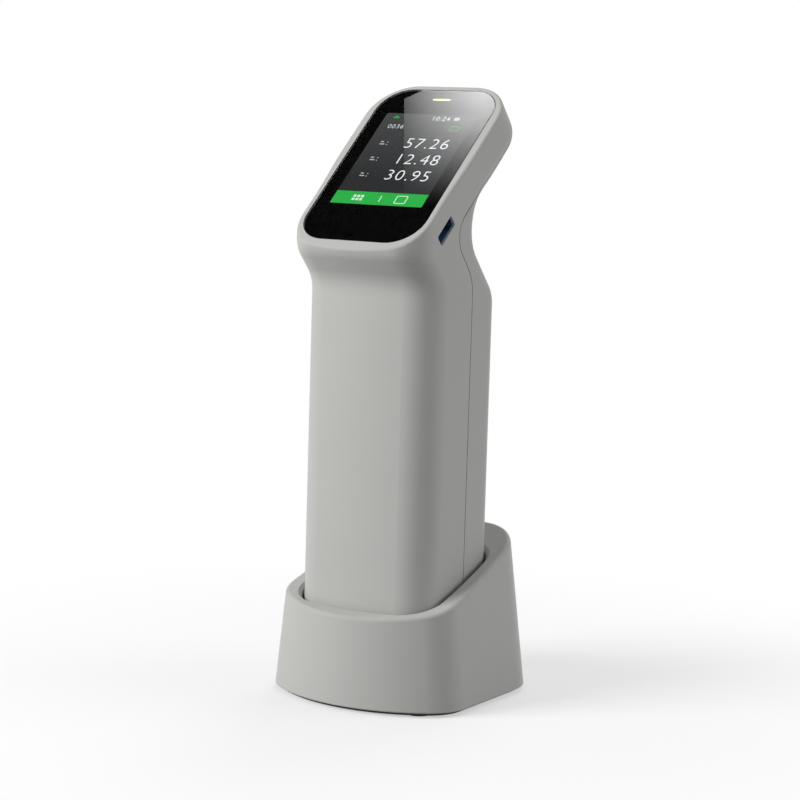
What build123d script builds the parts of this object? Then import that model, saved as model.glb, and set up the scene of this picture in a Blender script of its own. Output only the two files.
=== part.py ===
from build123d import *
import os
from math import asin, cos, degrees, radians, sin

os.makedirs("parts", exist_ok=True)

# All lengths are millimetres and all angles are degrees.
# x runs across the front, y from the front to the back, z is the height above the table.
# The origin is under the middle of the dock.

# Handset case, in plan
case_side_room = 8.5
case_front_y = -33.2
case_back_y = 26.3
front_crown_radius = 110.0
front_corner_radius = 14.0
back_crown_radius = 80.0
back_round = 8.0
case_wall = 2.4

# Handset case, from the side
case_bottom_z = 22.0
cap_height = 4.0
throat_radius = 13.0
chin_radius = 10.0
chin_turn = 43.0
chin_y = -44.8
chin_z = 185.0
shoulder_radius = 14.0
neck_turn = 42.0
neck_radius = 14.0
neck_y = 8.4
neck_z = 190.0

# Head, a slab that leans back behind the screen
screen_tilt = 48.6
screen_y = -4.7
screen_z = 217.2
head_flare = 1.2
head_thickness = 22.5
head_top = 44.4
head_corner_radius = 18.5
flare_start_z = 198.0
flare_end_z = 221.0
head_rim_round = 1.2
front_wall = 2.6
back_edge_depth = 16.0
back_edge_y = -5.0

# Seam between the front shell and the rear cover
seam_y = 1.0
seam_depth = 14.8
seam_shoulder_radius = 17.0
seam_turn = 41.0
seam_neck_y = -10.4
seam_neck_z = 187.5
seam_gap = 0.4
lip_height = 1.6
lip_gap = 0.1

# Bottom cap
cap_round = 1.5
spigot_height = 5.0
spigot_wall = 1.6
spigot_gap = 0.1
boss_gap = 0.3

# Screen glass and what lies under it
glass_width = 55.8
glass_top = 41.6
glass_bottom = -48.1
glass_corner_radius = 13.5
glass_thickness = 1.1
glass_bevel = 0.2
glass_gap = 0.15
glass_sink = 0.05
print_inset = 0.2
print_thickness = 0.1
display_width = 43.0
display_height = 54.4
display_corner_radius = 0.8
lamp_slot_length = 8.3
lamp_slot_height = 1.1
lamp_slot_round = 0.45
lamp_slot_up = 36.3
lamp_lens_border = 0.3
lamp_lens_length = 5.7
lamp_flange = 2.0
lamp_flange_thickness = 1.2
lcd_width = 50.0
lcd_length = 69.2
lcd_thickness = 3.4
lcd_down = 2.0
lcd_gap = 0.4

# USB socket in the right side of the head
usb_down = 29.6
usb_depth = 10.0
usb_width = 13.1
usb_height = 5.7
usb_length = 14.0
usb_sheet = 0.35
usb_wall = 1.2
usb_gap = 0.15
usb_slot_length = 12.6
usb_slot_height = 4.8
usb_slot_round = 0.9
usb_block_length = 3.0
usb_tongue_width = 11.1
usb_tongue_thickness = 1.84
usb_tongue_shift = 0.9
usb_tongue_sink = 1.0

# Circuit boards
board_thickness = 1.6
post_radius = 2.6
port_board_width = 50.0
port_board_length = 28.0
port_board_down = 31.0
port_post_x = 20.0
port_post_down = 42.5
main_board_width = 44.0
main_board_height = 50.0
main_board_z = 133.0
main_board_y = 16.0
main_post_x = 18.0
main_post_rise = 21.0
buzzer_x = -13.0
buzzer_z = 146.0
buzzer_radius = 6.0
buzzer_height = 4.0
buzzer_hole_radius = 1.0

# Battery and its cradle
battery_width = 44.0
battery_depth = 16.8
battery_height = 58.0
battery_bottom_z = 106.0
battery_front_y = -26.4
battery_round = 3.0
battery_gap = 0.3
cradle_wall = 1.5
cradle_finger = 12.0
cradle_ear = 3.8
cradle_shelf = 14.0
ledge_depth = 5.0
ledge_room = 0.4
ledge_end_gap = 8.0
cradle_screw_inset = 1.8
cradle_screw_rise = 17.0
battery_rib = 2.0
battery_rib_half_width = 18.0

# Measure button in the back of the neck
button_width = 11.0
button_height = 20.0
button_proud = 0.6
button_travel = 0.8
button_gap = 0.3
button_flange = 1.4
button_flange_thickness = 1.2
button_wall_gap = 0.7
button_stem_radius = 2.0
switch_size = 6.0
switch_height = 3.4
plunger_radius = 1.6
plunger_height = 0.4
plunger_gap = 0.1
button_board_width = 22.0
button_board_height = 24.0
button_board_y = -3.0
button_post_x = 9.2
button_post_rise = 9.0
button_post_radius = 1.8

# Measuring port in the bottom cap
port_y = -3.5
ring_radius = 15.0
ring_proud = 1.5
ring_seat = 2.5
ring_hole_radius = 4.0
ring_bevel = 0.4
ring_gap = 0.1
window_radius = 8.8
window_thickness = 1.0
window_gap = 0.1
cap_hole_radius = 9.5
gasket_radius = 13.5
gasket_hole_radius = 10.0
gasket_thickness = 1.0

# Integrating sphere
sphere_radius = 18.5
sphere_wall = 2.0
sphere_port_radius = 6.0
foot_ring_height = 6.0
flange_radius = 25.0
flange_thickness = 2.5
sphere_screw_reach = 22.6
skirt_radius = 20.2
skirt_height = 9.5
lamp_ring_radius = 17.4
lamp_count = 8
lamp_size = 2.2
lamp_thickness = 1.0
lamp_groove_width = 2.8
lamp_groove_depth = 1.2
lamp_port_radius = 0.9
lamp_port_slant = 45.0
lamp_port_length = 8.0
lamp_board_thickness = 0.9
lamp_board_inner_radius = 16.3

# Spectrometer on the sphere; it looks at the port from a small angle
view_angle = 8.0
view_boss_radius = 8.5
view_boss_start = 36.0
view_boss_end = 49.0
view_port_radius = 3.0
view_port_length = 4.0
barrel_radius = 5.0
barrel_wall = 0.9
barrel_step = 0.8
barrel_gap = 0.1
barrel_start = 42.2
barrel_flange_radius = 7.5
barrel_flange_thickness = 2.0
lens_start = 44.0
lens_thickness = 2.5
box_width = 36.0
box_depth = 26.0
box_height = 30.0
box_wall = 1.8
box_boss_radius = 2.2
box_boss_inset = 3.7
lid_thickness = 1.5
grating_size = 12.0
grating_thickness = 4.0
grating_turn = 35.0
grating_x = -5.0
grating_rise = 21.0
grating_post_radius = 2.5
detector_width = 18.0
detector_height = 22.0
detector_rise = 17.0
detector_screw_x = 6.5
detector_screw_rise = 8.5
sensor_width = 6.0
sensor_height = 14.0
sensor_thickness = 1.4
sensor_gap = 0.3

# Screws: shank radius, head radius, head height and length
small_screw = (0.9, 1.8, 1.2, 5.0)
standoff_bite = 4.0
sphere_screw = (0.9, 1.8, 1.2, 9.0)
case_screw = (1.2, 2.3, 1.6, 9.0)
recess_length = 1.2
recess_width = 0.3
screw_gap = 0.15
head_gap = 0.3
case_boss_radius = 3.4
case_boss_height = 9.0
case_screw_inset = 5.5
case_screw_front_y = -16.0
case_screw_back_y = 13.0

# Dock, a tapered cup with a slanted rim
dock_base_spread = 7.9
dock_base_front_y = -43.3
dock_base_back_y = 46.8
dock_rim_room = 5.6
dock_top_front_y = -40.0
dock_top_back_y = 40.4
dock_reference_height = 70.0
dock_front_crown = 62.0
dock_front_corner = 19.0
dock_back_crown = 200.0
dock_back_corner = 20.0
rim_front_z = 38.0
rim_back_z = 68.0
rim_sag = 3.0
rim_round = 1.8
rim_lead_in = 1.3
rim_wall = 2.6
well_gap = 1.2
well_wall = 2.2
floor_thickness = 3.0
floor_gap = 0.3
dock_wall = 2.4
skirt_lift = 1.8
skirt_round = 0.6

# Dock base plate, feet and posts
plate_gap = 0.2
plate_bottom_z = 0.5
plate_top_z = 3.0
foot_radius = 6.0
foot_seat = 1.2
foot_gap = 0.1
foot_round = 0.3
foot_inset = 16.0
foot_front_y = -26.0
foot_back_y = 31.0
dock_post_radius = 3.4
dock_screw_x = 27.0
dock_screw_y = 12.0

# Calibration tile under the measuring port
tile_radius = 14.0
tile_thickness = 4.0
tile_bevel = 0.4
tile_gap = 0.2
tile_port_gap = 0.3
cushion_thickness = 1.5
holder_wall = 1.9
holder_hole_gap = 0.2
holder_flange = 1.9
holder_flange_thickness = 3.0
holder_floor = 2.0
holder_ear_x = 20.5
holder_ear_radius = 3.0

# Charging contacts
pad_x = 9.0
pad_y = 19.0
pad_length = 6.0
pad_width = 4.5
pad_thickness = 0.8
pin_radius = 1.0
pin_tip_round = 0.5
pin_flange_radius = 1.6
pin_flange_thickness = 0.8
pin_flange_drop = 0.3
pin_travel = 1.2
pin_length = 8.6
pin_gap = 0.2
pin_touch_gap = 0.1
pin_block_length = 24.0
pin_block_width = 7.0
pin_block_height = 8.0
pin_bore_depth = 7.0
pin_ear_length = 5.0
pin_ear_thickness = 3.0
ear_screw_bite = 2.2

# Dock board and its power inlet
dock_board_length = 34.0
dock_board_width = 20.0
dock_board_thickness = 1.2
dock_board_z = 6.2
dock_board_y = 32.5
standoff_radius = 2.4
standoff_x = 14.0
standoff_y = 7.0
inlet_width = 8.9
inlet_height = 3.2
inlet_length = 7.4
inlet_sheet = 0.3
inlet_depth = 6.2
inlet_end_y = 45.4
inlet_gap = 0.25
inlet_tongue_width = 6.7
inlet_tongue_thickness = 0.7
inlet_tongue_length = 4.9

# Values that follow from the ones above
far = 200.0
near = 0.1
case_half_width = battery_width / 2 + case_side_room
head_half_width = case_half_width + head_flare
dock_top_half_width = case_half_width + dock_rim_room
dock_base_half_width = dock_top_half_width + dock_base_spread
case_screw_x = case_half_width - case_screw_inset
foot_x = dock_base_half_width - foot_inset
cradle_side = battery_width / 2 + battery_gap + cradle_wall
cradle_half_width = cradle_side + cradle_ear
cradle_screw_x = cradle_half_width - cradle_screw_inset
ledge_x = cradle_side + ledge_room
tilt_cos = cos(radians(screen_tilt))
tilt_sin = sin(radians(screen_tilt))
view_cos = cos(radians(view_angle))
view_sin = sin(radians(view_angle))
slope_axis = Axis((0, screen_y, screen_z), (0, tilt_sin, tilt_cos))
glass_axis = Axis((0, screen_y, screen_z), (0, -tilt_cos, tilt_sin))
on_top = (Align.CENTER, Align.CENTER, Align.MIN)
hanging = (Align.CENTER, Align.CENTER, Align.MAX)
shell_bottom_z = case_bottom_z + cap_height
print_depth = glass_sink + glass_thickness
recess_depth = print_depth + print_thickness + glass_sink
board_depth = usb_depth + usb_height / 2


def glass_plane(depth):
    """A plane parallel to the screen glass, this far behind its face."""
    plane = Plane((0, screen_y, screen_z), x_dir=(1, 0, 0), z_dir=(0, -tilt_cos, tilt_sin))
    return plane.offset(-depth)


def depth_behind_glass(point):
    return (point.Y - screen_y) * tilt_cos - (point.Z - screen_z) * tilt_sin


def up_the_slope(point):
    return (point.Y - screen_y) * tilt_sin + (point.Z - screen_z) * tilt_cos


def facing_front(y):
    """The upright plane at this y; sketches on it grow to the front."""
    return Plane.XZ.offset(-y)


def spots_on(plane, *spots):
    """Copies of a plane, each moved within itself to one spot."""
    return [Plane(plane.from_local_coords((x, y, 0)), x_dir=plane.x_dir, z_dir=plane.z_dir)
            for x, y in spots]


def upward(spots, z):
    """Places that face down at this height, so that holes from them go up."""
    return [Location((x, y, z), (180, 0, 0)) for x, y in spots]


def at_height(spots, z):
    return [(x, y, z) for x, y in spots]


def four(x, y):
    return [(x, y), (x, -y), (-x, y), (-x, -y)]


def plan_outline(z, half, front, back, back_half=None):
    """A plan section; each end is the y of its tip, its crown radius and its corner radius."""
    back_half = back_half or half
    front_tip, front_crown, front_corner = front
    back_tip, back_crown, back_corner = back
    front_turn = degrees(asin((half - front_corner) / (front_crown - front_corner)))
    back_turn = degrees(asin((back_half - back_corner) / (back_crown - back_corner)))
    back_start = back_tip - back_crown + (back_crown - back_corner) * cos(radians(back_turn))
    with BuildSketch(Plane.XY.offset(z)) as outline:
        with BuildLine():
            crown = JernArc((0, front_tip), (1, 0), front_crown, front_turn)
            side = JernArc(crown @ 1, crown % 1, front_corner, 90 - front_turn)
            if back_half > half:
                side = Line(side @ 1, (back_half, (side @ 1).Y))
            side = Line(side @ 1, (back_half, back_start))
            if back_corner:
                side = JernArc(side @ 1, (0, 1), back_corner, 90 - back_turn)
            leave = (-cos(radians(back_turn)), sin(radians(back_turn)))
            JernArc(side @ 1, leave, back_crown, back_turn)
            mirror(about=Plane.YZ)
        make_face()
    return outline.sketch


def grip_section(z, grow):
    """The plan section of the handset's grip, grown all round."""
    front = (case_front_y - grow, front_crown_radius + grow, front_corner_radius + grow)
    back = (case_back_y + grow, back_crown_radius + grow, back_round + grow)
    return plan_outline(z, case_half_width + grow, front, back)


def front_profile(bottom_z, inset):
    """The front of the case from the side: grip, throat, chin and on up."""
    turn = radians(chin_turn)
    run = case_front_y - chin_y - (throat_radius + chin_radius) * (1 - cos(turn))
    slant = run / sin(turn)
    throat_z = chin_z - (throat_radius + chin_radius) * sin(turn) - slant * cos(turn)
    with BuildLine(Plane.YZ) as profile:
        grip = Line((case_front_y + inset, bottom_z), (case_front_y + inset, throat_z))
        throat = JernArc(grip @ 1, grip % 1, throat_radius + inset, chin_turn)
        ramp = Line(throat @ 1, throat @ 1 + (throat % 1) * slant)
        chin = JernArc(ramp @ 1, ramp % 1, chin_radius - inset, -chin_turn)
        Line(chin @ 1, chin @ 1 + (chin % 1) * far / 2)
    return profile.line


def back_profile(bottom_z, inset):
    """The back of the case from the side: grip, shoulder, neck and the back of the head."""
    turn = radians(neck_turn)
    upper_radius = (neck_y - screen_y) * tilt_cos - (neck_z - screen_z) * tilt_sin
    upper_radius = (upper_radius - head_thickness) / (1 - tilt_cos)
    run = case_back_y - neck_y - (shoulder_radius + neck_radius) * (1 - cos(turn))
    slant = run / sin(turn)
    shoulder_z = neck_z - (shoulder_radius + neck_radius) * sin(turn) - slant * cos(turn)
    with BuildLine(Plane.YZ) as profile:
        grip = Line((case_back_y - inset, bottom_z), (case_back_y - inset, shoulder_z))
        shoulder = JernArc(grip @ 1, grip % 1, shoulder_radius - inset, neck_turn)
        ramp = Line(shoulder @ 1, shoulder @ 1 + (shoulder % 1) * slant)
        lower = JernArc(ramp @ 1, ramp % 1, neck_radius + inset, -neck_turn)
        upper = JernArc(lower @ 1, lower % 1, upper_radius + inset, -screen_tilt)
        Line(upper @ 1, upper @ 1 + (upper % 1) * far / 2)
    return profile.line


def case_form(inset, bottom_z, start_depth, rim=0.0):
    """The handset's outer form, or the same form inset for its hollow."""
    half = case_half_width - inset
    head_half = head_half_width - inset
    wide_half = head_half_width + case_wall
    front = (front_crown_radius - inset, front_corner_radius - inset)
    back = (back_crown_radius - inset, 0)
    front_plan = plan_outline(bottom_z, half, (case_front_y + inset, *front), (far, *back), wide_half)
    back_plan = plan_outline(bottom_z, half, (-far, *front), (case_back_y - inset, *back), wide_half)
    flare = head_half_width - case_half_width
    flare_rise = (flare_end_z - flare_start_z) / 2
    flare_radius = (flare_rise ** 2 + flare ** 2 / 4) / flare
    flare_turn = degrees(asin(flare_rise / flare_radius))
    with BuildPart() as form:
        sweep(front_plan, front_profile(bottom_z, inset), normal=(0, 0, 1))
        sweep(back_plan, back_profile(bottom_z, inset), normal=(0, 0, 1), mode=Mode.INTERSECT)
        with BuildSketch(Plane.XZ):
            with BuildLine():
                side = Line((half, bottom_z - 1), (half, flare_start_z))
                out = JernArc(side @ 1, side % 1, flare_radius + inset, -flare_turn)
                straighten = JernArc(out @ 1, out % 1, flare_radius - inset, flare_turn)
                top = Line(straighten @ 1, (head_half, flare_end_z + far / 2))
                Line(top @ 1, (0, flare_end_z + far / 2))
                Line((0, bottom_z - 1), side @ 0)
                mirror(about=Plane.YZ)
            make_face()
        extrude(amount=far, both=True, mode=Mode.INTERSECT)
        with BuildSketch(glass_plane(start_depth)) as head:
            with Locations((0, head_top - inset - far / 2)):
                Rectangle(2 * head_half, far)
            fillet(head.vertices().group_by(slope_axis)[-1], head_corner_radius - inset)
        extrude(amount=-far, mode=Mode.INTERSECT)

        def on_back_edge(edge):
            middle = edge @ 0.5
            outboard = abs((edge @ 0).X) > half - head_corner_radius - 10 * near
            lengthwise = abs(middle.X) > 10 * near or up_the_slope(middle) > head_top - inset - near
            behind = depth_behind_glass(middle) > back_edge_depth - inset and middle.Y > back_edge_y
            return outboard and lengthwise and behind and middle.Z > bottom_z + near

        def on_rim(edge):
            return all(abs(depth_behind_glass(edge @ t) - start_depth) < near / 10
                       for t in (0, 0.3, 0.6, 1))

        fillet(form.edges().filter_by(on_back_edge), back_round - inset)
        if rim:
            fillet(form.edges().filter_by(on_rim), rim)
    return form.part


def behind_seam(shift):
    """All space behind the case seam, with the seam moved back by a shift."""
    turn = radians(seam_turn)
    neck = (seam_neck_y - screen_y) * tilt_cos - (seam_neck_z - screen_z) * tilt_sin
    neck = (neck - seam_depth) / (1 - tilt_cos)
    run = seam_y - seam_neck_y - (seam_shoulder_radius + neck) * (1 - cos(turn))
    slant = run / sin(turn)
    shoulder_z = seam_neck_z - (seam_shoulder_radius + neck) * sin(turn) - slant * cos(turn)
    with BuildPart() as region:
        with BuildSketch(Plane.YZ):
            with BuildLine():
                grip = Line((seam_y + shift, 0), (seam_y + shift, shoulder_z))
                shoulder = JernArc(grip @ 1, grip % 1, seam_shoulder_radius + shift, seam_turn)
                ramp = Line(shoulder @ 1, shoulder @ 1 + (shoulder % 1) * slant)
                bend = JernArc(ramp @ 1, ramp % 1, neck - shift, -seam_turn - screen_tilt)
                head = Line(bend @ 1, bend @ 1 + (bend % 1) * far / 2)
                Polyline(head @ 1, (far, (head @ 1).Y), (far, 0), grip @ 0)
            make_face()
        extrude(amount=far / 2, both=True)
    return region.part


def put_screws(places, sizes):
    """Screws with cross recesses; each place is where the underside of a head rests."""
    shank, head, head_height, length = sizes
    with Locations(*places):
        Cylinder(head, head_height, align=on_top)
        Cylinder(shank, length, align=hanging)
    for turn in (0, 90):
        with Locations(*places):
            with Locations((0, 0, head_height)):
                Box(head * recess_length, head * recess_width, head_height, rotation=(0, 0, turn),
                    mode=Mode.SUBTRACT)


def bore(places, radius, depth):
    """Round holes that go down from each place."""
    with Locations(*places):
        Cylinder(radius, depth, align=hanging, mode=Mode.SUBTRACT)


def finish(part, label):
    part.label = label
    export_step(part, f"parts/{label}.step")


case_outer = case_form(0, shell_bottom_z, 0, head_rim_round)
case_hollow = case_form(case_wall, shell_bottom_z - 1, front_wall)
lip_outer = case_form(case_wall / 2, shell_bottom_z, front_wall)
rebate_outer = case_form(case_wall / 2 - lip_gap, shell_bottom_z - 1, front_wall)
seam_lip = (lip_outer - case_hollow) & (behind_seam(-lip_gap) - behind_seam(lip_height))
seam_rebate = rebate_outer - behind_seam(lip_height + seam_gap)
front_bosses = [(x, case_screw_front_y) for x in (-case_screw_x, case_screw_x)]
back_bosses = [(x, case_screw_back_y) for x in (-case_screw_x, case_screw_x)]
port_post_spots = [(x, -port_post_down) for x in (-port_post_x, port_post_x)]
port_posts = spots_on(glass_plane(board_depth), *port_post_spots)
cradle_y = battery_front_y + battery_depth + battery_gap
battery_z = battery_bottom_z + battery_height / 2
cradle_screws = spots_on(facing_front(cradle_y), *[
    (x, battery_z + rise) for x, rise in four(cradle_screw_x, cradle_screw_rise)])
usb_centre_y = screen_y - usb_down * tilt_sin + usb_depth * tilt_cos
usb_centre_z = screen_z - usb_down * tilt_cos - usb_depth * tilt_sin


def usb_plane(x):
    """Across the USB socket; local x runs up the slope and local y to the glass."""
    return Plane((x, usb_centre_y, usb_centre_z), x_dir=(0, tilt_sin, tilt_cos), z_dir=(1, 0, 0))


# Bosses, posts and ribs that belong to the front shell
with BuildPart() as front_inside:
    with BuildSketch(Plane.XY.offset(shell_bottom_z)):
        with Locations(*front_bosses):
            Circle(case_boss_radius)
    extrude(amount=case_boss_height)
    with BuildSketch(facing_front(cradle_y)):
        for side in (-1, 1):
            with Locations((side * (ledge_x + case_half_width) / 2, battery_z)):
                Rectangle(case_half_width - ledge_x, battery_height - 2 * ledge_end_gap)
    extrude(amount=ledge_depth)
    for z in (battery_bottom_z + ledge_end_gap, battery_bottom_z + battery_height - ledge_end_gap):
        with BuildSketch(Plane.XY.offset(z)):
            with Locations((0, (case_front_y + battery_front_y) / 2)):
                Rectangle(2 * battery_rib_half_width, battery_front_y - case_front_y)
        extrude(amount=battery_rib)
    with BuildSketch(*port_posts):
        Circle(post_radius)
    extrude(amount=board_depth - front_wall / 2 - recess_depth / 2)
    add(case_outer, mode=Mode.INTERSECT)
    bore(upward(front_bosses, shell_bottom_z), case_screw[0] + screw_gap, case_boss_height - 1)
    bore([-place for place in port_posts], small_screw[0] + screw_gap, small_screw[3])
    bore([-place for place in cradle_screws], small_screw[0] + screw_gap, ledge_depth)

# Front shell with the bezel, the recess for the glass and the lip of the seam
with BuildPart() as front_shell:
    add(case_outer)
    add(case_hollow, mode=Mode.SUBTRACT)
    add(behind_seam(0), mode=Mode.SUBTRACT)
    add(front_inside.part)
    add(seam_lip)
    with BuildSketch(glass_plane(0)):
        with Locations((0, (glass_top + glass_bottom) / 2)):
            RectangleRounded(glass_width + 2 * glass_gap, glass_top - glass_bottom + 2 * glass_gap,
                             glass_corner_radius + glass_gap)
    extrude(amount=-recess_depth, mode=Mode.SUBTRACT)
    with BuildSketch(glass_plane(0)):
        with Locations((0, -lcd_down)):
            Rectangle(lcd_width + 2 * lcd_gap, lcd_length + 2 * lcd_gap)
        with Locations((0, lamp_slot_up)):
            Rectangle(lamp_slot_length + 4 * lamp_lens_border, lamp_slot_height + 4 * lamp_lens_border)
    extrude(amount=-2 * front_wall, mode=Mode.SUBTRACT)
    with BuildSketch(usb_plane(case_half_width - case_wall)):
        RectangleRounded(usb_width + 2 * usb_gap, usb_height + 2 * usb_gap, usb_slot_round)
    extrude(amount=case_wall - usb_wall, mode=Mode.SUBTRACT)
    with BuildSketch(usb_plane(case_half_width - case_wall)):
        RectangleRounded(usb_slot_length, usb_slot_height, usb_slot_round)
    extrude(amount=2 * case_wall, mode=Mode.SUBTRACT)
finish(front_shell.part, "front_shell")

button_z = neck_z
button_flange_back = neck_y - case_wall - button_wall_gap
button_flange_front = button_flange_back - button_flange_thickness
button_board_back = button_board_y + board_thickness
button_post_spots = [(x, button_z + rise) for x, rise in four(button_post_x, button_post_rise)]
button_posts = spots_on(facing_front(button_board_back), *button_post_spots)
main_board_back = main_board_y + board_thickness
main_post_spots = [(x, main_board_z + rise) for x, rise in four(main_post_x, main_post_rise)]
main_posts = spots_on(facing_front(main_board_back), *main_post_spots)

# Bosses and posts that belong to the rear cover
with BuildPart() as back_inside:
    with BuildSketch(Plane.XY.offset(shell_bottom_z)):
        with Locations(*back_bosses):
            Circle(case_boss_radius)
    extrude(amount=case_boss_height)
    with BuildSketch(*main_posts):
        Circle(post_radius)
    extrude(amount=-far / 4)
    with BuildSketch(*button_posts):
        Circle(button_post_radius)
    extrude(amount=-far / 4)
    add(case_outer, mode=Mode.INTERSECT)
    bore(upward(back_bosses, shell_bottom_z), case_screw[0] + screw_gap, case_boss_height - 1)
    bore(main_posts + button_posts, small_screw[0] + screw_gap, small_screw[3])

with BuildPart() as rear_cover:
    add(case_outer)
    add(case_hollow, mode=Mode.SUBTRACT)
    add(behind_seam(seam_gap), mode=Mode.INTERSECT)
    add(seam_rebate, mode=Mode.SUBTRACT)
    add(back_inside.part)
    with BuildSketch(facing_front(button_flange_back)):
        with Locations((0, button_z)):
            SlotOverall(button_height + 2 * button_gap, button_width + 2 * button_gap, rotation=90)
    extrude(amount=-far / 4, mode=Mode.SUBTRACT)
finish(rear_cover.part, "rear_cover")

sphere_screw_spots = [(x, port_y + y) for x, y in four(sphere_screw_reach * cos(radians(45)),
                                                       sphere_screw_reach * sin(radians(45)))]
case_screw_spots = front_bosses + back_bosses
pad_spots = [(x, pad_y) for x in (-pad_x, pad_x)]
ring_bottom_z = case_bottom_z - ring_proud
gasket_top_z = shell_bottom_z + gasket_thickness
sphere_z = gasket_top_z + sphere_radius
case_head_z = case_bottom_z + case_screw[2] + head_gap

# Bottom cap with its spigot, four standoffs for the sphere and the seats of the port
with BuildPart() as bottom_cap:
    add(grip_section(case_bottom_z, 0))
    extrude(amount=cap_height)
    fillet(bottom_cap.edges().group_by(Axis.Z)[0], cap_round)
    with BuildSketch(Plane.XY.offset(shell_bottom_z)):
        add(grip_section(0, -case_wall - spigot_gap))
        add(grip_section(0, -case_wall - spigot_gap - spigot_wall), mode=Mode.SUBTRACT)
        with Locations(*case_screw_spots):
            Circle(case_boss_radius + boss_gap, mode=Mode.SUBTRACT)
    extrude(amount=spigot_height)
    with BuildSketch(Plane.XY.offset(shell_bottom_z)):
        with Locations(*sphere_screw_spots):
            Circle(post_radius)
    extrude(amount=sphere_z - flange_thickness - shell_bottom_z)
    with Locations((0, port_y, case_bottom_z)):
        Cylinder(ring_radius + ring_gap, ring_seat, align=on_top, mode=Mode.SUBTRACT)
        Cylinder(cap_hole_radius, cap_height, align=on_top, mode=Mode.SUBTRACT)
    with Locations(*at_height(pad_spots, case_bottom_z)):
        Box(pad_length, pad_width, pad_thickness, align=on_top, mode=Mode.SUBTRACT)
    bore(at_height(case_screw_spots, case_head_z), case_screw[1] + head_gap, cap_height)
    bore(at_height(case_screw_spots, shell_bottom_z), case_screw[0] + head_gap, cap_height)
    bore(at_height(sphere_screw_spots, sphere_z - flange_thickness), small_screw[0] + screw_gap,
         small_screw[3])
finish(bottom_cap.part, "bottom_cap")

with BuildPart() as charge_pads:
    with Locations(*at_height(pad_spots, case_bottom_z)):
        Box(pad_length, pad_width, pad_thickness, align=on_top)
finish(charge_pads.part, "charge_pads")

window_z = case_bottom_z + ring_seat - window_thickness - window_gap
with BuildPart() as aperture_ring:
    with Locations((0, port_y, ring_bottom_z)):
        Cylinder(ring_radius, ring_proud + ring_seat, align=on_top)
        Cylinder(ring_hole_radius, ring_proud + ring_seat, align=on_top, mode=Mode.SUBTRACT)
    with Locations((0, port_y, window_z)):
        Cylinder(window_radius + window_gap, ring_seat, align=on_top, mode=Mode.SUBTRACT)
    chamfer(aperture_ring.edges().group_by(Axis.Z)[0], ring_bevel)
finish(aperture_ring.part, "aperture_ring")

with BuildPart() as dust_window:
    with Locations((0, port_y, window_z)):
        Cylinder(window_radius, window_thickness, align=on_top)
finish(dust_window.part, "dust_window")

with BuildPart() as sphere_gasket:
    with Locations((0, port_y, shell_bottom_z)):
        Cylinder(gasket_radius, gasket_thickness, align=on_top)
        Cylinder(gasket_hole_radius, gasket_thickness, align=on_top, mode=Mode.SUBTRACT)
finish(sphere_gasket.part, "sphere_gasket")

# Lower half of the sphere, on a foot ring over the port
with BuildPart() as sphere_lower:
    with Locations((0, port_y, sphere_z)):
        Sphere(sphere_radius)
        Cylinder(flange_radius, flange_thickness, align=hanging)
    with Locations((0, port_y, gasket_top_z)):
        Cylinder(gasket_radius, foot_ring_height, align=on_top)
    split(bisect_by=Plane.XY.offset(sphere_z), keep=Keep.BOTTOM)
    with Locations((0, port_y, sphere_z)):
        Sphere(sphere_radius - sphere_wall, mode=Mode.SUBTRACT)
        Cylinder(sphere_port_radius, far, align=hanging, mode=Mode.SUBTRACT)
    bore(at_height(sphere_screw_spots, sphere_z), small_screw[0] + head_gap, flange_thickness)
finish(sphere_lower.part, "sphere_lower")


def view_plane(distance):
    """Across the line of sight of the spectrometer, this far from the measuring port."""
    line = Plane((0, port_y, ring_bottom_z), x_dir=(1, 0, 0), z_dir=(0, view_sin, view_cos))
    return line.offset(distance)


lamp_seat_z = sphere_z + skirt_height
box_start = view_boss_end + barrel_flange_thickness
box_end = box_start + box_height

# Upper half of the sphere, with slanted lamp ports and the boss for the lens barrel
with BuildPart() as sphere_upper:
    with Locations((0, port_y, sphere_z)):
        Sphere(sphere_radius)
        Cylinder(flange_radius, flange_thickness, align=on_top)
        Cylinder(skirt_radius, skirt_height, align=on_top)
    with BuildSketch(view_plane(view_boss_start)):
        Circle(view_boss_radius)
    extrude(amount=view_boss_end - view_boss_start)
    split(bisect_by=Plane.XY.offset(sphere_z), keep=Keep.TOP)
    with Locations((0, port_y, sphere_z)):
        Sphere(sphere_radius - sphere_wall, mode=Mode.SUBTRACT)
    with BuildSketch(Plane.XY.offset(lamp_seat_z)):
        with Locations((0, port_y)):
            Circle(lamp_ring_radius + lamp_groove_width / 2)
            Circle(lamp_ring_radius - lamp_groove_width / 2, mode=Mode.SUBTRACT)
    extrude(amount=-lamp_groove_depth, mode=Mode.SUBTRACT)
    with Locations((0, port_y, lamp_seat_z - lamp_groove_depth)):
        with PolarLocations(lamp_ring_radius, lamp_count):
            Cylinder(lamp_port_radius, lamp_port_length, rotation=(0, lamp_port_slant, 0),
                     align=hanging, mode=Mode.SUBTRACT)
    bore([view_plane(view_boss_end)], barrel_radius + barrel_gap, view_boss_end - barrel_start)
    bore([view_plane(barrel_start)], view_port_radius, view_port_length)
    bore(at_height(sphere_screw_spots, sphere_z + flange_thickness), small_screw[0] + head_gap,
         flange_thickness)
finish(sphere_upper.part, "sphere_upper")

with BuildPart() as lamp_board:
    with Locations((0, port_y, lamp_seat_z)):
        Cylinder(skirt_radius, lamp_board_thickness, align=on_top)
        Cylinder(lamp_board_inner_radius, lamp_board_thickness, align=on_top, mode=Mode.SUBTRACT)
finish(lamp_board.part, "lamp_board")

with BuildPart() as lamp_leds:
    with Locations((0, port_y, lamp_seat_z)):
        with PolarLocations(lamp_ring_radius, lamp_count):
            Box(lamp_size, lamp_size, lamp_thickness, align=hanging)
finish(lamp_leds.part, "lamp_leds")

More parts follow.
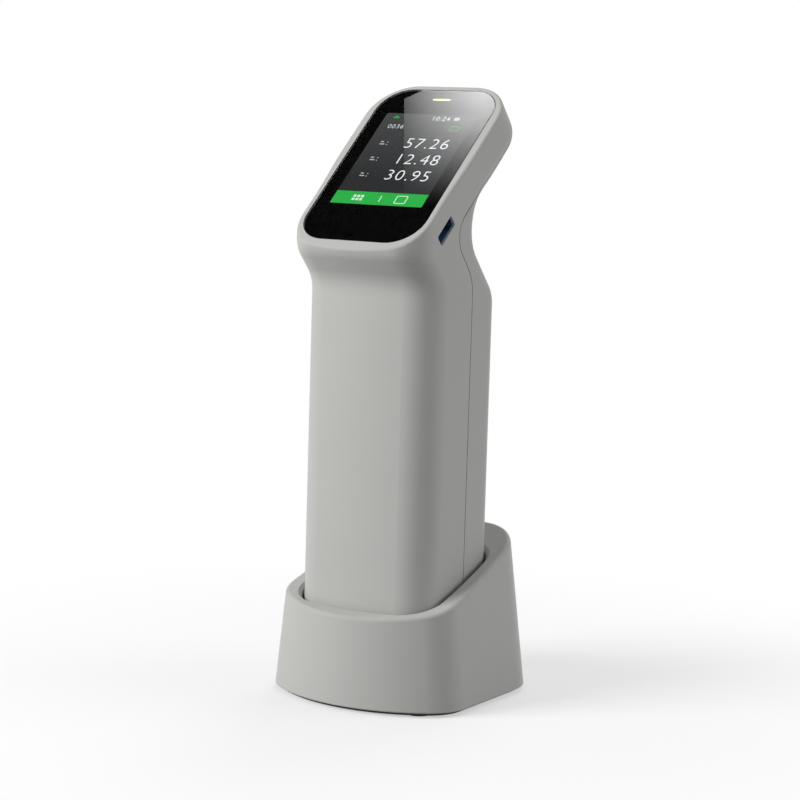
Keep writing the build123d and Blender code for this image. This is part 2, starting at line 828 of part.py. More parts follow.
with BuildPart() as lens_barrel:
    with BuildSketch(view_plane(barrel_start)):
        Circle(barrel_radius)
    extrude(amount=view_boss_end - barrel_start)
    with BuildSketch(view_plane(view_boss_end)):
        Circle(barrel_flange_radius)
    extrude(amount=barrel_flange_thickness)
    bore([view_plane(box_start)], barrel_radius - barrel_wall - barrel_step, box_start - barrel_start)
    bore([view_plane(box_start)], barrel_radius - barrel_wall, box_start - lens_start)
finish(lens_barrel.part, "lens_barrel")

with BuildPart() as collimating_lens:
    with BuildSketch(view_plane(lens_start)):
        Circle(barrel_radius - barrel_wall - barrel_gap)
    extrude(amount=lens_thickness)
finish(collimating_lens.part, "collimating_lens")

box_boss_spots = four(box_width / 2 - box_boss_inset, box_depth / 2 - box_boss_inset)
box_screws = spots_on(view_plane(box_end + lid_thickness), *box_boss_spots)
detector_centre = view_plane(box_start + detector_rise).from_local_coords((box_width / 2, 0, 0))
detector_plane = Plane(detector_centre, x_dir=(0, view_cos, -view_sin), z_dir=(1, 0, 0))
detector_screws = spots_on(detector_plane.offset(board_thickness),
                           *four(detector_screw_x, detector_screw_rise))
grating_plane = view_plane(box_start + grating_rise)
post_start_y = box_depth / 2 - box_wall / 2

# Spectrometer box, with lid bosses in its corners and a post that carries the grating
with BuildPart() as spectrometer_housing:
    with BuildSketch(view_plane(box_start)):
        Rectangle(box_width, box_depth)
    extrude(amount=box_height)
    with BuildSketch(view_plane(box_start + box_wall)):
        Rectangle(box_width - 2 * box_wall, box_depth - 2 * box_wall)
        with Locations(*box_boss_spots):
            Circle(box_boss_radius, mode=Mode.SUBTRACT)
    extrude(amount=box_height, mode=Mode.SUBTRACT)
    with Locations(grating_plane.location * Location((grating_x, post_start_y, 0), (90, 0, 0))):
        Cylinder(grating_post_radius, post_start_y - grating_size / 2, align=on_top)
    bore([view_plane(box_start + box_wall)], barrel_radius - barrel_wall, 2 * box_wall)
    with BuildSketch(detector_plane):
        Rectangle(sensor_width + 2 * sensor_gap, sensor_height + 2 * sensor_gap)
    extrude(amount=-box_wall, mode=Mode.SUBTRACT)
    bore(box_screws, small_screw[0] + screw_gap, lid_thickness + small_screw[3])
    bore(detector_screws, small_screw[0] + screw_gap, board_thickness + small_screw[3])
finish(spectrometer_housing.part, "spectrometer_housing")

with BuildPart() as spectrometer_lid:
    with BuildSketch(view_plane(box_end)):
        Rectangle(box_width, box_depth)
    extrude(amount=lid_thickness)
    bore(box_screws, small_screw[0] + head_gap, lid_thickness)
finish(spectrometer_lid.part, "spectrometer_lid")

with BuildPart() as grating:
    with Locations(grating_plane.location * Location((grating_x, 0, 0), (0, grating_turn, 0))):
        Box(grating_size, grating_size, grating_thickness)
finish(grating.part, "grating")

with BuildPart() as detector_board:
    with BuildSketch(detector_plane):
        Rectangle(detector_width, detector_height)
    extrude(amount=board_thickness)
    with BuildSketch(detector_plane):
        Rectangle(sensor_width, sensor_height)
    extrude(amount=-sensor_thickness)
    bore(detector_screws, small_screw[0] + head_gap, board_thickness)
finish(detector_board.part, "detector_board")

with BuildPart() as main_board:
    with BuildSketch(facing_front(main_board_back)):
        with Locations((0, main_board_z)):
            Rectangle(main_board_width, main_board_height)
        with Locations(*main_post_spots):
            Circle(small_screw[0] + head_gap, mode=Mode.SUBTRACT)
    extrude(amount=board_thickness)
finish(main_board.part, "main_board")

with BuildPart() as buzzer:
    with BuildSketch(facing_front(main_board_y)):
        with Locations((buzzer_x, buzzer_z)):
            Circle(buzzer_radius)
    extrude(amount=buzzer_height)
    with BuildSketch(facing_front(main_board_y - buzzer_height)):
        with Locations((buzzer_x, buzzer_z)):
            Circle(buzzer_hole_radius)
    extrude(amount=-buzzer_height / 2, mode=Mode.SUBTRACT)
finish(buzzer.part, "buzzer")

with BuildPart() as battery_pack:
    with BuildSketch(Plane.XY.offset(battery_bottom_z)):
        with Locations((0, battery_front_y + battery_depth / 2)):
            RectangleRounded(battery_width, battery_depth, battery_round)
    extrude(amount=battery_height)
finish(battery_pack.part, "battery_pack")

# Cradle with a back plate, two side cheeks and a shelf under the battery
with BuildPart() as battery_cradle:
    with BuildSketch(facing_front(cradle_y + cradle_wall)):
        with Locations((0, battery_z)):
            Rectangle(2 * cradle_half_width, battery_height + 2 * (battery_gap + cradle_wall))
    extrude(amount=cradle_wall)
    with BuildSketch(facing_front(cradle_y)):
        for side in (-1, 1):
            with Locations((side * (battery_width / 2 + battery_gap + cradle_wall / 2), battery_z)):
                Rectangle(cradle_wall, battery_height - 2 * battery_round)
    extrude(amount=cradle_finger)
    with BuildSketch(facing_front(cradle_y)):
        with Locations((0, battery_bottom_z - cradle_wall / 2)):
            Rectangle(battery_width, cradle_wall)
    extrude(amount=cradle_shelf)
    with BuildSketch(*cradle_screws):
        Circle(small_screw[0] + head_gap)
    extrude(amount=-cradle_wall, mode=Mode.SUBTRACT)
finish(battery_cradle.part, "battery_cradle")

with BuildPart() as cover_glass:
    with BuildSketch(glass_plane(glass_sink)):
        with Locations((0, (glass_top + glass_bottom) / 2)):
            RectangleRounded(glass_width, glass_top - glass_bottom, glass_corner_radius)
    extrude(amount=-glass_thickness)
    chamfer(cover_glass.faces().sort_by(glass_axis)[-1].edges(), glass_bevel)
finish(cover_glass.part, "cover_glass")

with BuildPart() as glass_print:
    with BuildSketch(glass_plane(print_depth)):
        with Locations((0, (glass_top + glass_bottom) / 2)):
            RectangleRounded(glass_width - 2 * print_inset, glass_top - glass_bottom - 2 * print_inset,
                             glass_corner_radius - print_inset)
        RectangleRounded(display_width, display_height, display_corner_radius, mode=Mode.SUBTRACT)
        with Locations((0, lamp_slot_up)):
            RectangleRounded(lamp_slot_length, lamp_slot_height, lamp_slot_round, mode=Mode.SUBTRACT)
    extrude(amount=-print_thickness)
finish(glass_print.part, "glass_print")

with BuildPart() as lcd_module:
    with BuildSketch(glass_plane(recess_depth)):
        with Locations((0, -lcd_down)):
            Rectangle(lcd_width, lcd_length)
    extrude(amount=-lcd_thickness)
finish(lcd_module.part, "lcd_module")

with BuildPart() as indicator_lens:
    with BuildSketch(glass_plane(recess_depth)):
        with Locations((0, lamp_slot_up)):
            Rectangle(lamp_slot_length + 2 * lamp_lens_border, lamp_slot_height + 2 * lamp_lens_border)
    extrude(amount=-lamp_lens_length)
    with BuildSketch(glass_plane(front_wall)):
        with Locations((0, lamp_slot_up)):
            Rectangle(lamp_slot_length + 2 * lamp_flange, lamp_slot_height + 2 * lamp_flange)
    extrude(amount=-lamp_flange_thickness)
finish(indicator_lens.part, "indicator_lens")

usb_back_x = case_half_width - usb_wall - usb_gap - usb_length

with BuildPart() as usb_port:
    with BuildSketch(usb_plane(usb_back_x)):
        RectangleRounded(usb_width, usb_height, usb_slot_round)
        RectangleRounded(usb_width - 2 * usb_sheet, usb_height - 2 * usb_sheet,
                         usb_slot_round - usb_sheet, mode=Mode.SUBTRACT)
    extrude(amount=usb_length)
finish(usb_port.part, "usb_port")

with BuildPart() as usb_tongue:
    with BuildSketch(usb_plane(usb_back_x)):
        Rectangle(usb_width - 2 * usb_sheet - usb_slot_round, usb_height - 2 * usb_sheet)
    extrude(amount=usb_block_length)
    with BuildSketch(usb_plane(usb_back_x)):
        with Locations((0, usb_tongue_shift)):
            Rectangle(usb_tongue_width, usb_tongue_thickness)
    extrude(amount=usb_length - usb_tongue_sink)
finish(usb_tongue.part, "usb_tongue")

with BuildPart() as port_board:
    with BuildSketch(glass_plane(board_depth)):
        with Locations((0, -port_board_down)):
            Rectangle(port_board_width, port_board_length)
        with Locations(*port_post_spots):
            Circle(small_screw[0] + head_gap, mode=Mode.SUBTRACT)
    extrude(amount=-board_thickness)
finish(port_board.part, "port_board")

with BuildPart() as button_board:
    with BuildSketch(facing_front(button_board_back)):
        with Locations((0, button_z)):
            Rectangle(button_board_width, button_board_height)
        with Locations(*button_post_spots):
            Circle(small_screw[0] + screw_gap, mode=Mode.SUBTRACT)
    extrude(amount=board_thickness)
finish(button_board.part, "button_board")

plunger_end = button_board_back + switch_height + plunger_height
with BuildPart() as button_switch:
    with BuildSketch(facing_front(button_board_back)):
        with Locations((0, button_z)):
            Rectangle(switch_size, switch_size)
    extrude(amount=-switch_height)
    with BuildSketch(facing_front(plunger_end)):
        with Locations((0, button_z)):
            Circle(plunger_radius)
    extrude(amount=plunger_height)
finish(button_switch.part, "button_switch")

# The button follows the curve of the neck and stands a little proud of it
with BuildPart() as measure_button:
    with BuildSketch(facing_front(button_flange_back)):
        with Locations((0, button_z)):
            SlotOverall(button_height, button_width, rotation=90)
    extrude(amount=-far / 4)
    add(case_outer.moved(Location((0, button_proud, 0))), mode=Mode.INTERSECT)
    with BuildSketch(facing_front(button_flange_back)):
        with Locations((0, button_z)):
            SlotOverall(button_height + 2 * button_flange, button_width + 2 * button_flange, rotation=90)
    extrude(amount=button_flange_thickness)
    with BuildSketch(facing_front(button_flange_front)):
        with Locations((0, button_z)):
            Circle(button_stem_radius)
    extrude(amount=button_flange_front - plunger_end - button_travel - plunger_gap)
finish(measure_button.part, "measure_button")

with BuildPart() as case_screws:
    put_screws(upward(case_screw_spots, case_head_z), case_screw)
finish(case_screws.part, "case_screws")

with BuildPart() as board_screws:
    put_screws([-place.offset(-board_thickness) for place in port_posts], small_screw)
    put_screws([-place.offset(-cradle_wall) for place in cradle_screws], small_screw)
    put_screws([place.offset(board_thickness) for place in main_posts + button_posts], small_screw)
    put_screws(box_screws + detector_screws, small_screw)
finish(board_screws.part, "board_screws")

with BuildPart() as sphere_screws:
    put_screws(at_height(sphere_screw_spots, sphere_z + flange_thickness), sphere_screw)
finish(sphere_screws.part, "sphere_screws")

floor_top_z = case_bottom_z - floor_gap
floor_bottom_z = floor_top_z - floor_thickness
rim_front = Vector(0, dock_top_front_y, rim_front_z)
rim_back = Vector(0, dock_top_back_y, rim_back_z)
rim_chord = rim_back - rim_front
rim_radius = (rim_chord.length ** 2 / 4 + rim_sag ** 2) / (2 * rim_sag)
rim_up = Vector(0, -rim_chord.Z, rim_chord.Y).normalized()
rim_axis = (rim_front + rim_back) * 0.5 + rim_up * (rim_radius - rim_sag)


def dock_section(z, inset):
    """The plan section of the dock's outside at a height, or the same section inset."""
    part_up = z / dock_reference_height
    half = dock_base_half_width + (dock_top_half_width - dock_base_half_width) * part_up
    front_y = dock_base_front_y + (dock_top_front_y - dock_base_front_y) * part_up
    back_y = dock_base_back_y + (dock_top_back_y - dock_base_back_y) * part_up
    scale = half / dock_base_half_width
    front = (front_y + inset, dock_front_crown * scale - inset, dock_front_corner * scale - inset)
    back = (back_y - inset, dock_back_crown * scale - inset, dock_back_corner * scale - inset)
    return plan_outline(z, half - inset, front, back)


def dock_form(inset, bottom_z, drop):
    """The solid form of the dock up to its slanted, dished rim, lowered by a drop."""
    with BuildPart() as form:
        loft([dock_section(bottom_z, inset), dock_section(dock_reference_height, inset)], ruled=True)
        with Locations(rim_axis):
            Cylinder(rim_radius + drop, far, rotation=(0, 90, 0), mode=Mode.SUBTRACT)
    return form.part


def on_dock_rim(edge):
    across = [Vector(0, (edge @ t).Y, (edge @ t).Z) - rim_axis for t in (0, 0.3, 0.7, 1)]
    return all(abs(arm.length - rim_radius) < near / 4 for arm in across)


def on_well_rim(edge):
    middle = edge @ 0.5
    in_width = abs(middle.X) < case_half_width + well_gap + near
    in_depth = case_front_y - well_gap - near < middle.Y < case_back_y + well_gap + near
    return in_width and in_depth and on_dock_rim(edge)


# The hollow between the outer skin and the well
with BuildPart() as dock_hollow:
    add(dock_form(dock_wall, skirt_lift - 1, rim_wall))
    add(grip_section(floor_bottom_z, well_gap + well_wall))
    extrude(amount=far / 2, mode=Mode.SUBTRACT)

pin_ear_x = (pin_block_length + pin_ear_length) / 2
pin_ears = [(x, pad_y) for x in (-pin_ear_x, pin_ear_x)]
tile_top_z = ring_bottom_z - tile_port_gap
holder_radius = tile_radius + tile_gap + holder_wall
holder_ears = [(x, port_y) for x in (-holder_ear_x, holder_ear_x)]
holder_flange_z = floor_bottom_z - holder_flange_thickness
dock_post_spots = four(dock_screw_x, dock_screw_y)
inlet_z = dock_board_z + dock_board_thickness + inlet_height / 2

# Dock shell: the skin, the well for the handset, its floor and the posts under it
with BuildPart() as dock_shell:
    add(dock_form(0, skirt_lift, 0))
    fillet(dock_shell.edges().filter_by(on_dock_rim), rim_round)
    fillet(dock_shell.edges().group_by(Axis.Z)[0], skirt_round)
    add(dock_hollow.part, mode=Mode.SUBTRACT)
    add(grip_section(floor_top_z, well_gap))
    extrude(amount=far / 2, mode=Mode.SUBTRACT)
    chamfer(dock_shell.edges().filter_by(on_well_rim), rim_lead_in)
    with BuildSketch(Plane.XY.offset(plate_top_z)):
        with Locations(*dock_post_spots):
            Circle(dock_post_radius)
    extrude(amount=floor_bottom_z - plate_top_z)
    bore([(0, port_y, floor_top_z)], holder_radius + holder_hole_gap, floor_thickness)
    bore(at_height(pad_spots, floor_top_z), pin_radius + pin_gap, floor_thickness)
    bore(upward(dock_post_spots, plate_top_z), small_screw[0] + screw_gap, small_screw[3])
    bore(upward(pin_ears + holder_ears, floor_bottom_z), small_screw[0] + screw_gap, ear_screw_bite)
    with BuildSketch(facing_front(inlet_end_y - inlet_length)):
        with Locations((0, inlet_z)):
            SlotOverall(inlet_width + 2 * inlet_gap, inlet_height + 2 * inlet_gap)
    extrude(amount=-far / 4, mode=Mode.SUBTRACT)
finish(dock_shell.part, "dock_shell")

dock_head_z = plate_bottom_z + small_screw[2] + head_gap
board_screw_spots = [(x, dock_board_y + y) for x, y in four(standoff_x, standoff_y)]
foot_spots = {"foot_front_left": (-foot_x, foot_front_y), "foot_front_right": (foot_x, foot_front_y),
              "foot_rear_left": (-foot_x, foot_back_y), "foot_rear_right": (foot_x, foot_back_y)}

with BuildPart() as dock_base_plate:
    with BuildSketch(Plane.XY.offset(plate_bottom_z)):
        add(dock_section(plate_top_z, dock_wall + plate_gap).moved(Location((0, 0, -plate_top_z))))
    extrude(amount=plate_top_z - plate_bottom_z)
    with BuildSketch(Plane.XY.offset(plate_top_z)):
        with Locations(*board_screw_spots):
            Circle(standoff_radius)
    extrude(amount=dock_board_z - plate_top_z)
    bore(at_height(foot_spots.values(), plate_bottom_z + foot_seat), foot_radius + foot_gap, foot_seat)
    bore(at_height(dock_post_spots, dock_head_z), small_screw[1] + head_gap, plate_top_z)
    bore(at_height(dock_post_spots, plate_top_z), small_screw[0] + head_gap, plate_top_z)
    bore(at_height(board_screw_spots, dock_board_z), small_screw[0] + screw_gap, standoff_bite)
finish(dock_base_plate.part, "dock_base_plate")

for name, (x, y) in foot_spots.items():
    with BuildPart() as foot:
        with Locations((x, y, 0)):
            Cylinder(foot_radius, plate_bottom_z + foot_seat, align=on_top)
        fillet(foot.edges().group_by(Axis.Z)[0], foot_round)
    finish(foot.part, name)

with BuildPart() as calibration_tile:
    with Locations((0, port_y, tile_top_z)):
        Cylinder(tile_radius, tile_thickness, align=hanging)
    chamfer(calibration_tile.edges().group_by(Axis.Z)[-1], tile_bevel)
finish(calibration_tile.part, "calibration_tile")

cushion_z = tile_top_z - tile_thickness - cushion_thickness
with BuildPart() as tile_cushion:
    with Locations((0, port_y, cushion_z)):
        Cylinder(tile_radius - tile_gap, cushion_thickness, align=on_top)
finish(tile_cushion.part, "tile_cushion")

with BuildPart() as tile_holder:
    with Locations((0, port_y, tile_top_z)):
        Cylinder(holder_radius, tile_top_z - cushion_z + holder_floor, align=hanging)
    with BuildSketch(Plane.XY.offset(holder_flange_z)):
        with Locations((0, port_y)):
            Circle(holder_radius + holder_flange)
        with Locations(*holder_ears):
            Circle(holder_ear_radius)
    extrude(amount=holder_flange_thickness)
    with Locations((0, port_y, cushion_z)):
        Cylinder(tile_radius + tile_gap, far / 4, align=on_top, mode=Mode.SUBTRACT)
    bore(at_height(holder_ears, floor_bottom_z), small_screw[0] + head_gap, holder_flange_thickness)
finish(tile_holder.part, "tile_holder")

for name, (x, y) in zip(("charge_pin_left", "charge_pin_right"), pad_spots):
    with BuildPart() as charge_pin:
        with Locations((x, y, case_bottom_z - pin_touch_gap)):
            Cylinder(pin_radius, pin_length, align=hanging)
        fillet(charge_pin.edges().group_by(Axis.Z)[-1], pin_tip_round)
        with Locations((x, y, floor_bottom_z - pin_flange_drop)):
            Cylinder(pin_flange_radius, pin_flange_thickness, align=hanging)
    finish(charge_pin.part, name)

with BuildPart() as pin_housing:
    with Locations((0, pad_y, floor_bottom_z)):
        Box(pin_block_length, pin_block_width, pin_block_height, align=hanging)
        Box(pin_block_length + 2 * pin_ear_length, pin_block_width, pin_ear_thickness, align=hanging)
    bore(at_height(pad_spots, floor_bottom_z), pin_flange_radius + pin_gap,
         pin_flange_drop + pin_flange_thickness + pin_travel + pin_gap)
    bore(at_height(pad_spots, floor_bottom_z), pin_radius + pin_gap, pin_bore_depth)
    bore(at_height(pin_ears, floor_bottom_z), small_screw[0] + head_gap, pin_ear_thickness)
finish(pin_housing.part, "pin_housing")

with BuildPart() as dock_board:
    with BuildSketch(Plane.XY.offset(dock_board_z)):
        with Locations((0, dock_board_y)):
            Rectangle(dock_board_length, dock_board_width)
        with Locations(*board_screw_spots):
            Circle(small_screw[0] + head_gap, mode=Mode.SUBTRACT)
    extrude(amount=dock_board_thickness)
finish(dock_board.part, "dock_board")

with BuildPart() as dock_power_inlet:
    with BuildSketch(facing_front(inlet_end_y)):
        with Locations((0, inlet_z)):
            SlotOverall(inlet_width, inlet_height)
    extrude(amount=inlet_length)
    with BuildSketch(facing_front(inlet_end_y)):
        with Locations((0, inlet_z)):
            SlotOverall(inlet_width - 2 * inlet_sheet, inlet_height - 2 * inlet_sheet)
    extrude(amount=inlet_depth, mode=Mode.SUBTRACT)
    with BuildSketch(facing_front(inlet_end_y - inlet_depth)):
        with Locations((0, inlet_z)):
            Rectangle(inlet_tongue_width, inlet_tongue_thickness)
    extrude(amount=-inlet_tongue_length)
finish(dock_power_inlet.part, "dock_power_inlet")

with BuildPart() as dock_screws:
    put_screws(upward(dock_post_spots, dock_head_z), small_screw)
    put_screws(upward(pin_ears, floor_bottom_z - pin_ear_thickness), small_screw)
    put_screws(upward(holder_ears, holder_flange_z), small_screw)
    put_screws(at_height(board_screw_spots, dock_board_z + dock_board_thickness), small_screw)
finish(dock_screws.part, "dock_screws")
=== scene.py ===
import bmesh
import bpy
from mathutils import Matrix, Vector


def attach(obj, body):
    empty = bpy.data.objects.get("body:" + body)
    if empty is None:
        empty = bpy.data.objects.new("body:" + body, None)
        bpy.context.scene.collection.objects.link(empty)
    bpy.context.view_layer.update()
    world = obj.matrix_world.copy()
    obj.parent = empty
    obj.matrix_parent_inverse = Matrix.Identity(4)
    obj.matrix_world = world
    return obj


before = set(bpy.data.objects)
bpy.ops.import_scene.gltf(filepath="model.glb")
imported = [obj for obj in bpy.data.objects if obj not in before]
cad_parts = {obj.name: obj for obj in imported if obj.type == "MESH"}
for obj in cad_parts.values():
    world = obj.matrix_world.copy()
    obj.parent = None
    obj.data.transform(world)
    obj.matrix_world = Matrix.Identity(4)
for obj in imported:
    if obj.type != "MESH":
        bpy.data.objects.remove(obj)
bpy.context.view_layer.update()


# Dock base plate: a flat plate of dark ABS that closes the dock from below and stands in from
# the shell, so that it shows as a thin dark line. It is moulded with a fine spark texture.

def tint(red, green, blue):
    """A colour written as on a paint card, 0 to 255, as Blender's linear one."""
    out = []
    for part in (red, green, blue):
        part = part / 255.0
        out.append(part / 12.92 if part <= 0.04045 else ((part + 0.055) / 1.055) ** 2.4)
    return (out[0], out[1], out[2], 1.0)


def group_with(name, inputs, outputs):
    """An empty node group with its named value or colour sockets."""
    group = bpy.data.node_groups.new(name, "ShaderNodeTree")
    for label, kind, value in inputs:
        socket = group.interface.new_socket(label, in_out="INPUT", socket_type=kind)
        socket.default_value = value
    for label, kind in outputs:
        group.interface.new_socket(label, in_out="OUTPUT", socket_type=kind)
    return group, group.nodes.new("NodeGroupInput"), group.nodes.new("NodeGroupOutput")


def sum_node(nodes, kind, second=None):
    """A maths node, with a plain number on its second input where one is given."""
    node = nodes.new("ShaderNodeMath")
    node.operation = kind
    if second is not None:
        node.inputs[1].default_value = second
    return node


def make_moulded_grain():
    """The spark texture of a mould, and the slow mottle of a large moulded wall."""
    group, come, go = group_with(
        "moulded grain",
        [("Grain Scale", "NodeSocketFloat", 1800.0), ("Mottle Scale", "NodeSocketFloat", 40.0)],
        [("Height", "NodeSocketFloat"), ("Mottle", "NodeSocketFloat")])
    nodes, links = group.nodes, group.links
    place = nodes.new("ShaderNodeTexCoord")
    fine = nodes.new("ShaderNodeTexNoise")
    fine.inputs["Detail"].default_value = 3.0
    fine.inputs["Roughness"].default_value = 0.6
    pits = nodes.new("ShaderNodeTexVoronoi")
    slow = nodes.new("ShaderNodeTexNoise")
    slow.inputs["Detail"].default_value = 5.0
    both = sum_node(nodes, "MULTIPLY_ADD", second=0.45)
    links.new(place.outputs["Object"], fine.inputs["Vector"])
    links.new(place.outputs["Object"], pits.inputs["Vector"])
    links.new(place.outputs["Object"], slow.inputs["Vector"])
    links.new(come.outputs["Grain Scale"], fine.inputs["Scale"])
    links.new(come.outputs["Grain Scale"], pits.inputs["Scale"])
    links.new(come.outputs["Mottle Scale"], slow.inputs["Scale"])
    links.new(pits.outputs["Distance"], both.inputs[0])
    links.new(fine.outputs["Fac"], both.inputs[2])
    links.new(both.outputs[0], go.inputs["Height"])
    links.new(slow.outputs["Fac"], go.inputs["Mottle"])
    return group


def make_rubbed_edge():
    """A mask that is 1 on outer edges and corners, broken up as handling does it."""
    group, come, go = group_with(
        "rubbed edge",
        [("Amount", "NodeSocketFloat", 1.0)],
        [("Edge", "NodeSocketFloat")])
    nodes, links = group.nodes, group.links
    soft = nodes.new("ShaderNodeBevel")
    soft.samples = 4
    soft.inputs["Radius"].default_value = 0.0006
    facing = nodes.new("ShaderNodeNewGeometry")
    dot = nodes.new("ShaderNodeVectorMath")
    dot.operation = "DOT_PRODUCT"
    turned = nodes.new("ShaderNodeMapRange")
    turned.inputs["From Min"].default_value = 0.995
    turned.inputs["From Max"].default_value = 0.85
    place = nodes.new("ShaderNodeTexCoord")
    patchy = nodes.new("ShaderNodeTexNoise")
    patchy.inputs["Scale"].default_value = 220.0
    patchy.inputs["Detail"].default_value = 4.0
    broken = sum_node(nodes, "MULTIPLY")
    amount = sum_node(nodes, "MULTIPLY")
    links.new(soft.outputs["Normal"], dot.inputs[0])
    links.new(facing.outputs["True Normal"], dot.inputs[1])
    links.new(dot.outputs["Value"], turned.inputs["Value"])
    links.new(place.outputs["Object"], patchy.inputs["Vector"])
    links.new(turned.outputs["Result"], broken.inputs[0])
    links.new(patchy.outputs["Fac"], broken.inputs[1])
    links.new(broken.outputs[0], amount.inputs[0])
    links.new(come.outputs["Amount"], amount.inputs[1])
    links.new(amount.outputs[0], go.inputs["Edge"])
    return group


def make_settled_dust():
    """A faint, uneven film of dust on whatever faces up."""
    group, come, go = group_with(
        "settled dust",
        [("Amount", "NodeSocketFloat", 0.1)],
        [("Dust", "NodeSocketFloat")])
    nodes, links = group.nodes, group.links
    facing = nodes.new("ShaderNodeNewGeometry")
    split = nodes.new("ShaderNodeSeparateXYZ")
    upward = nodes.new("ShaderNodeMapRange")
    upward.inputs["From Min"].default_value = 0.25
    upward.inputs["From Max"].default_value = 1.0
    place = nodes.new("ShaderNodeTexCoord")
    specks = nodes.new("ShaderNodeTexNoise")
    specks.inputs["Scale"].default_value = 900.0
    specks.inputs["Detail"].default_value = 6.0
    sparse = nodes.new("ShaderNodeMapRange")
    sparse.inputs["From Min"].default_value = 0.45
    sparse.inputs["From Max"].default_value = 0.75
    lying = sum_node(nodes, "MULTIPLY")
    amount = sum_node(nodes, "MULTIPLY")
    links.new(facing.outputs["Normal"], split.inputs["Vector"])
    links.new(split.outputs["Z"], upward.inputs["Value"])
    links.new(place.outputs["Object"], specks.inputs["Vector"])
    links.new(specks.outputs["Fac"], sparse.inputs["Value"])
    links.new(upward.outputs["Result"], lying.inputs[0])
    links.new(sparse.outputs["Result"], lying.inputs[1])
    links.new(lying.outputs[0], amount.inputs[0])
    links.new(come.outputs["Amount"], amount.inputs[1])
    links.new(amount.outputs[0], go.inputs["Dust"])
    return group


moulded_grain = make_moulded_grain()
rubbed_edge = make_rubbed_edge()
settled_dust = make_settled_dust()


def placed(nodes, group, **values):
    """A node group put in a material, with its own values."""
    node = nodes.new("ShaderNodeGroup")
    node.node_tree = group
    for label, value in values.items():
        node.inputs[label.replace("_", " ")].default_value = value
    return node


def blank(name):
    """A new material and its Principled shader."""
    material = bpy.data.materials.new(name)
    material.use_nodes = True
    tree = material.node_tree
    return material, tree.nodes, tree.links, tree.nodes["Principled BSDF"]


mix_factor, mix_first, mix_second, mix_result = 0, 6, 7, 2
dust_colour = tint(176, 172, 164)


def colour_mix(nodes, first, second):
    """A colour mix of two plain colours. The four names above are its sockets."""
    node = nodes.new("ShaderNodeMix")
    node.data_type = "RGBA"
    node.inputs[mix_first].default_value = first
    node.inputs[mix_second].default_value = second
    return node


def spread(nodes, low, high):
    """Turns a mask from 0 to 1 into values from low to high."""
    node = nodes.new("ShaderNodeMapRange")
    node.inputs["To Min"].default_value = low
    node.inputs["To Max"].default_value = high
    return node


def moulded_plastic(name, colour, mottle, rubbed, satin, gloss, grain=1800.0, relief=0.00002,
                    wear=0.5, dust=0.06):
    """Plastic or rubber: its colour drifts a little, its edges are rubbed, dust lies on top.

    Its roughness is satin on the faces and gloss on the rubbed edges.
    """
    material, nodes, links, shader = blank(name)
    texture = placed(nodes, moulded_grain, Grain_Scale=grain, Mottle_Scale=35.0)
    edge = placed(nodes, rubbed_edge, Amount=wear)
    film = placed(nodes, settled_dust, Amount=dust)
    drift = colour_mix(nodes, colour, mottle)
    worn = colour_mix(nodes, colour, rubbed)
    dusty = colour_mix(nodes, colour, dust_colour)
    rough = spread(nodes, satin, gloss)
    bump = nodes.new("ShaderNodeBump")
    bump.inputs["Distance"].default_value = relief
    links.new(texture.outputs["Mottle"], drift.inputs[mix_factor])
    links.new(drift.outputs[mix_result], worn.inputs[mix_first])
    links.new(edge.outputs["Edge"], worn.inputs[mix_factor])
    links.new(worn.outputs[mix_result], dusty.inputs[mix_first])
    links.new(film.outputs["Dust"], dusty.inputs[mix_factor])
    links.new(dusty.outputs[mix_result], shader.inputs["Base Color"])
    links.new(edge.outputs["Edge"], rough.inputs["Value"])
    links.new(rough.outputs["Result"], shader.inputs["Roughness"])
    links.new(texture.outputs["Height"], bump.inputs["Height"])
    links.new(bump.outputs["Normal"], shader.inputs["Normal"])
    shader.inputs["IOR"].default_value = 1.49
    return material


def dress(material, *names):
    """Gives CAD pieces their finish."""
    for name in names:
        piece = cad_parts[name]
        if not piece.material_slots:
            piece.data.materials.append(material)
        for slot in piece.material_slots:
            slot.material = material


base_plastic = moulded_plastic(
    "dock base plastic", tint(58, 59, 60), tint(50, 51, 52), tint(84, 85, 86),
    satin=0.55, gloss=0.38, grain=1500.0)
dress(base_plastic, "dock_base_plate", "pin_housing", "tile_holder")


# Feet: four round pads of dark silicone rubber, stuck in the recesses under the base plate.
# They are dull, with a coarser skin than the plastic and a bloom of dust.

foot_rubber = moulded_plastic(
    "foot rubber", tint(46, 46, 47), tint(38, 38, 39), tint(62, 62, 62),
    satin=0.85, gloss=0.7, grain=1100.0, relief=0.00004, dust=0.15)
dress(foot_rubber, "foot_front_left", "foot_front_right", "foot_rear_left", "foot_rear_right",
      "tile_cushion", "sphere_gasket")


# Screws: small steel machine screws, zinc plated, in the dock, the boards, the sphere and the
# case. Turning leaves fine rings on their heads, and the plating is a little uneven.

